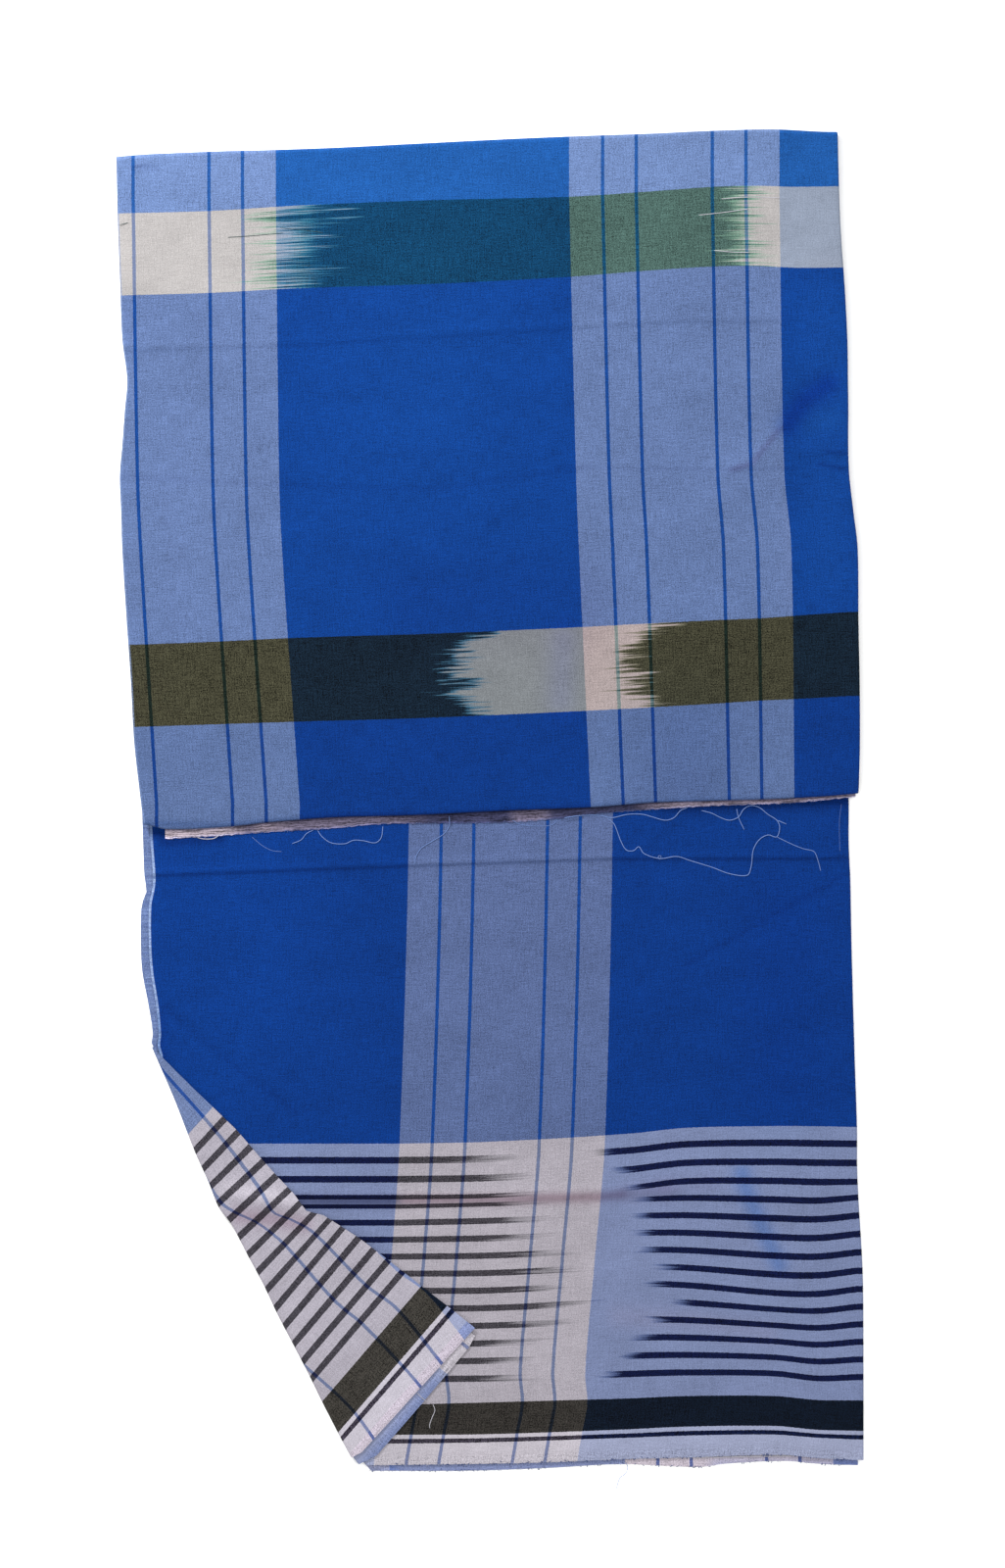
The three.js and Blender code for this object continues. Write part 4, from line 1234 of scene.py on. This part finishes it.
hidden = {
    "acrossSteps": 60, "alongSteps": 91, "length": 540, "joint": 0.002, "inset": 6,
    "insets": (2.6, 1.2, 2.0), "groove": 1.3, "wander": 0.45, "squeeze": 0.5,
    "clothAcross": 20, "clothAlong": 150,
    # A rounded lip: share of one layer's height, and how far it lies in
    "lip": [(0.06, 0.5), (0.2, 0.12), (0.5, 0), (0.8, 0.12), (0.94, 0.5)],
}
hiddenRows = [
    {"left": inset, "right": upperFoldRadius + room}
    for inset, room in zip(hidden["insets"], (0, layers["foldReturn"] + 2 * layers["gap"],
                                              layers["foldReturn"] + layers["gap"]))]


def sideProfile(side, place):
    # Down one side of the stack: how many layers up, and how far in from the panel's edge
    made = []
    for k, row in enumerate(hiddenRows):
        inset = row[side] + hidden["wander"] * (
            1 + math.sin(place * (0.05 + 0.02 * k) + 2 * k + len(side)))
        made += [(k + level, inset + inward) for level, inward in hidden["lip"]]
        if k + 1 < len(hiddenRows):
            made.append((k + 1, max(row[side], hiddenRows[k + 1][side]) + hidden["groove"]))
    return made


def hiddenLine(share):
    lowRoom = layers["foldReturn"] + hidden["inset"]
    topRoom = layers["foldReturn"] + layers["gap"]

    def place(x):
        return lowerLine(x) + lowRoom + share * (topLine(x) - topRoom - lowerLine(x) - lowRoom)
    return place


def makeHiddenLayers():
    # The lowest rows stand on the frayed end, the rest on the front layer
    lowRoom = layers["foldReturn"] + hidden["inset"]
    raised = (layers["underReach"] - upperFoldRadius + 1 - lowRoom) / hidden["length"]
    joint = hidden["joint"]
    leastIn = upperFoldRadius + layers["foldReturn"] + layers["gap"]
    stops = np.r_[0, joint, raised, raised + joint,
                  np.linspace(raised + 5 * joint, 1 - joint, hidden["alongSteps"]), 1]
    sections, flats = [], []
    for share in stops:
        along = hiddenLine(share)
        squeeze = hidden["squeeze"] if share in (0, 1) else 0.0
        onStrip = share <= raised
        bottom = 3 * layer if onStrip else hiddenBottom
        left, right = meet(upperLeft, along, -305), meet(upperRight, along, 305)
        place = float(along(0))
        leftSide = [(left + inward, level) for level, inward in sideProfile("left", place)]
        rightSide = [(right - max(inward, leastIn if onStrip else 0), level)
                     for level, inward in sideProfile("right", place)]
        xs = np.linspace(left + 6, right - 8, hidden["acrossSteps"])
        top = [(x, len(hiddenRows)) for x in xs]
        below = [(x, 0) for x in xs]
        x, level = np.array(leftSide + top + rightSide[::-1] + below[::-1]).T
        level = level / len(hiddenRows)
        z = bottom + squeeze + level * (hiddenTop - bottom - 2 * squeeze)
        y = along(x)
        sections.append(np.stack([x, y, z], axis=1))
        u = acrossCloth(upperStripes, upperCloth, x + hidden["clothAcross"] * level, y)
        flats.append(np.stack([u, alongUpper(x, y) + hidden["clothAlong"]], axis=1))
    points = np.concatenate(sections)
    faces = ringFaces(len(sections), len(sections[0]), turned=True)
    undyed = {"ink": np.full(len(points), -fullInk), "hem": np.full(len(points), noHem)}
    block = finishMesh("hidden_cloth", points, faces, np.concatenate(flats), undyed,
                       upperCotton, smoothAngle=60)
    declare(block, "hidden_layers", "checked_cotton", (0.61, 0.56), ["front_cloth"])


makeHiddenLayers()
print("frayed end and turned-in layers made")


# Loose threads and frayed ends


def surfaceHeight(x, y):
    along, across = besideFold(x, y)
    if y > lowerFold(x):
        return upperTop
    if y > underEdge(x) and x > underEnd["at"][0]:
        return underTop
    if 0 < along < corner["backTo"] and 0 < across < backReach(along):
        return 2 * frontTop + layers["gap"]
    if 0 < along < corner["frontTo"] and 0 < across < frontReach(along):
        return frontTop + layer
    if y > frontCut(x) and x < lengthFold(y):
        return frontTop + float(creaseLift(frontCreases, np.array([x]), np.array([y]))[0])
    return layers["wall"] / 2 if y > backCut(x) else -studio["floorDepth"]


def smoothLine(points, step=1.2):
    points = np.array(points, float)
    lengths = np.r_[0, np.cumsum(np.linalg.norm(np.diff(points, axis=0), axis=1))]
    rows = {"at": lengths, "x": points[:, 0], "y": points[:, 1]}
    at = np.linspace(0, lengths[-1], max(int(lengths[-1] / step), 4))
    return np.stack([curve(rows, "x")(at), curve(rows, "y")(at)], axis=1)


def tubeAlong(line, radius, sides, tip=0.35):
    # Rings round a line of points, drawn in to a blunt tip at both ends
    ahead = np.gradient(line, axis=0)
    ahead /= np.maximum(np.linalg.norm(ahead, axis=1, keepdims=True), 1e-9)
    level = np.cross(ahead, (0, 0, 1.0))
    level /= np.maximum(np.linalg.norm(level, axis=1, keepdims=True), 1e-9)
    upright = np.cross(level, ahead)
    angles = 2 * math.pi * np.arange(sides) / sides
    taper = np.ones(len(line))
    taper[[0, -1]] = tip
    rings = (line[:, None, :] + radius * taper[:, None, None] * (
        np.cos(angles)[None, :, None] * level[:, None, :]
        + np.sin(angles)[None, :, None] * upright[:, None, :]))
    return rings.reshape(-1, 3), ringFaces(len(line), sides)


def joinTubes(name, tubes, material):
    points, faces, offset = [], [], 0
    for tubePoints, tubeFaces in tubes:
        points.append(tubePoints)
        faces += [tuple(offset + corner for corner in face) for face in tubeFaces]
        offset += len(tubePoints)
    points = np.concatenate(points)
    piece = finishMesh(name, points, faces, points[:, :2].copy(), {}, material, 180)
    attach(piece, "root")


def threadTube(route, radius, sides=6, lifted=0.75):
    # A thread that lies on whatever is under it, with its middle lifted by a share of its radius
    flat = smoothLine(route)
    height = np.array([surfaceHeight(x, y) for x, y in flat])
    padded = np.r_[[height[0]] * 2, height, [height[-1]] * 2]
    eased = np.maximum(np.convolve(padded, np.ones(5) / 5, "valid"), height)
    return tubeAlong(np.c_[flat, eased + lifted * radius], radius, sides)


def yarn(name, colour, shade, fleck=0.6):
    # Cotton yarn, ring-spun and frayed: matt and soft, its pale fibres brighter than the cloth
    # and flecked about as long as its twist
    material, tree, shader = newMaterial(name, Roughness=0.9, Sheen_Weight=0.1,
                                         Specular_IOR_Level=0.1)
    place = addNode(tree, "UVMap", {}, uv_map="cloth")
    twist = addNode(tree, "TexNoise", {"Vector": place, "Scale": 1000 / fleck, "Detail": 2.0})
    tone = addNode(tree, "ValToRGB", {"Fac": twist})
    fillRamp(tone, [(0, linear(shade, weave["gain"])), (1, linear(colour, weave["gain"]))])
    tree.links.new(tone.outputs["Color"], shader.inputs["Base Color"])
    return material


paleYarn = yarn("ring_spun_cotton_yarn_pale", "#93b0ee", "#6283c6")
whiteYarn = yarn("ring_spun_cotton_yarn_undyed", "#eeecf2", "#c6c4d2")
blueYarn = yarn("ring_spun_cotton_yarn_blue", "#4a62a0", "#22376f")
darkYarn = yarn("ring_spun_cotton_yarn_dark", "#4d6a68", "#26393c")

# The loose threads of each yarn: radius, and route over the cloth
looseThreads = [
    ("loose_threads_pale", paleYarn, [
        (0.3, [(-149.4, -25.3), (-155.2, -28.2), (-159.8, -33.6), (-167.7, -36.9)]),
        (0.32, [(-146.1, -25.3), (-141.9, -31.1), (-134.5, -36.1), (-122.8, -36.9), (-115.5, -34),
            (-107.1, -34.4), (-97.1, -36.1), (-92.1, -32), (-90.5, -22)]),
        (0.16, [(-201.7, -31.1), (-192.6, -38.6), (-184.3, -42.7), (-176, -43.6)]),
        (0.27, [(-34.4, -12.9), (-34.4, -21.6), (-39, -28.6), (-49, -34.9), (-58.1, -40.8),
            (-62.6, -48.2), (-63.1, -54.4)]),
        (0.33, [(63.1, -14.9), (78, -12.9), (93, -12.9), (102.9, -14.9), (117, -12), (129.5, -12),
            (137.8, -14.2), (148.6, -17), (156, -14.9), (161.8, -8.7), (167.7, -6.2)]),
        (0.33, [(99.6, -15.4), (105.4, -20.3), (111.2, -34.9), (115.9, -42.3), (122, -42.7),
            (126.2, -39.4), (130.7, -45.2), (144.1, -49.4), (158.5, -47.7), (169.3, -51),
            (188.4, -56.9), (203.3, -62.3), (218.3, -63.5), (221.6, -55.7), (223.3, -42.3),
            (228.3, -33.6), (235.7, -29.5), (243.2, -31.1), (245.7, -22.8), (243.2, -17),
            (235.7, -12), (228.3, -6.2), (220.8, -4.6), (215, -7.9), (210.8, -14.2), (203.3, -17),
            (195.9, -14.9), (188.4, -11.2), (179.3, -8.7)]),
        (0.33, [(243.6, -17), (247.5, -18.6), (251.5, -20.3)]),
        (0.27, [(243.2, -31.1), (255.2, -36.9), (265.6, -41.1), (274.7, -43.6), (278.1, -51),
            (280.5, -60.2)]),
        (0.29, [(209.2, -7.1), (210.8, -14.5), (215.8, -25.3)]),
        (0.1, [(298, -2.9), (296.3, -18.7), (296.7, -43.6)]),
        (0.2, [(19.1, -17), (26.6, -20.8), (41.5, -22), (53.1, -20.8), (57.3, -17)]),
        (0.24, [(144.1, -49.4), (145.5, -47.6), (143.2, -47), (142.8, -49.2), (144.6, -50.4)]),
        (0.2, [(115, -560.7), (116.8, -564.8), (115, -570.6), (110.4, -573.9), (107.1, -583.9)]),
    ]),
    ("loose_threads_white_and_edge_highlight", whiteYarn, [
        (0.32, [(-248.2, -31.5), (-242.4, -32.8), (-234.1, -32.5), (-230.7, -30.6),
            (-228.3, -28.6)]),
        (0.24, [(-61.8, -501.7), (-56.8, -506.7), (-53.1, -509.2)]),
        (0.27, [(-48.1, -511.7), (-46.5, -516.7), (-49, -523.3), (-51, -529.5), (-50.6, -532.4)]),
        # Partly a painted highlight: a bright pale thread along the front layer's rolled cut edge
        (0.4, [(189, -556.9), (206, -556.3), (232, -555.8), (256, -555.5)]),
        (0.26, [(177, 495.3), (198, 497.6), (219, 500.6)]),
        (0.26, [(190, 465.4), (206, 464), (220, 463.6)]),
        (0.24, [(196, 509), (220, 510.6), (246, 510)]),
    ]),
    ("pulled_threads_dark", darkYarn, [
        (0.24, [(-222, 476.5), (-200, 478), (-175, 480.2)]),
        (0.22, [(-178, 484.6), (-160, 482.8), (-141, 480.5)]),
        (0.22, [(-314, 487), (-306, 489)]),
    ]),
]


for name, kind, threads in looseThreads:
    joinTubes(name, [threadTube(route, radius) for radius, route in threads], kind)

# Short fibres along each raw edge: where, how many, how long and how thick they are, the height
# of their roots and their yarn
fibre = {"lean": 0.9, "bend": 0.5, "rootIn": (0.2, 1.0), "rootSpread": 0.3, "fall": 0.08,
         "sag": 0.1, "points": 4, "sides": 4}
frays = [
    ("fray_end_pale", underEdge, (-228, 305), 200, (0.5, 1.7), 0.1, 3.6, paleYarn),
    ("fray_end_blue", underEdge, (-272, 308), 90, (0.5, 1.5), 0.12, 3.7, blueYarn),
    ("fray_front_blue", frontCut, (-100, 312), 90, (1.0, 2.4), 0.3, 2.2, blueYarn),
    ("fray_front_pale", frontCut, (-100, 312), 160, (0.8, 2.0), 0.14, 2.1, whiteYarn),
    ("fray_back_blue", backCut, (-104, 306), 130, (0.8, 2.2), 0.26, 0.6, blueYarn),
    ("fray_back_pale", backCut, (-104, 306), 200, (0.6, 1.8), 0.13, 0.4, whiteYarn),
]
dice = random.Random(7)


def makeFibre(edge, ends, lengths, radius, height):
    x = dice.uniform(*ends)
    length = dice.uniform(*lengths)
    lean = dice.gauss(0, fibre["lean"])
    bend = dice.gauss(0, fibre["bend"])
    y = float(edge(x)) + dice.uniform(*fibre["rootIn"])
    z = height + dice.uniform(-fibre["rootSpread"], fibre["rootSpread"])
    steps = np.linspace(0, 1, fibre["points"])[:, None]
    line = (np.array([[x, y, z]])
            + steps * length * np.array([[math.sin(lean), -math.cos(lean), -fibre["fall"]]])
            + steps ** 2 * length * np.array([[bend / 2, 0, -fibre["sag"]]]))
    return tubeAlong(line, radius, fibre["sides"])


for name, edge, ends, count, lengths, radius, height, kind in frays:
    joinTubes(name, [makeFibre(edge, ends, lengths, radius, height) for _ in range(count)], kind)
print("threads and frayed edges made")
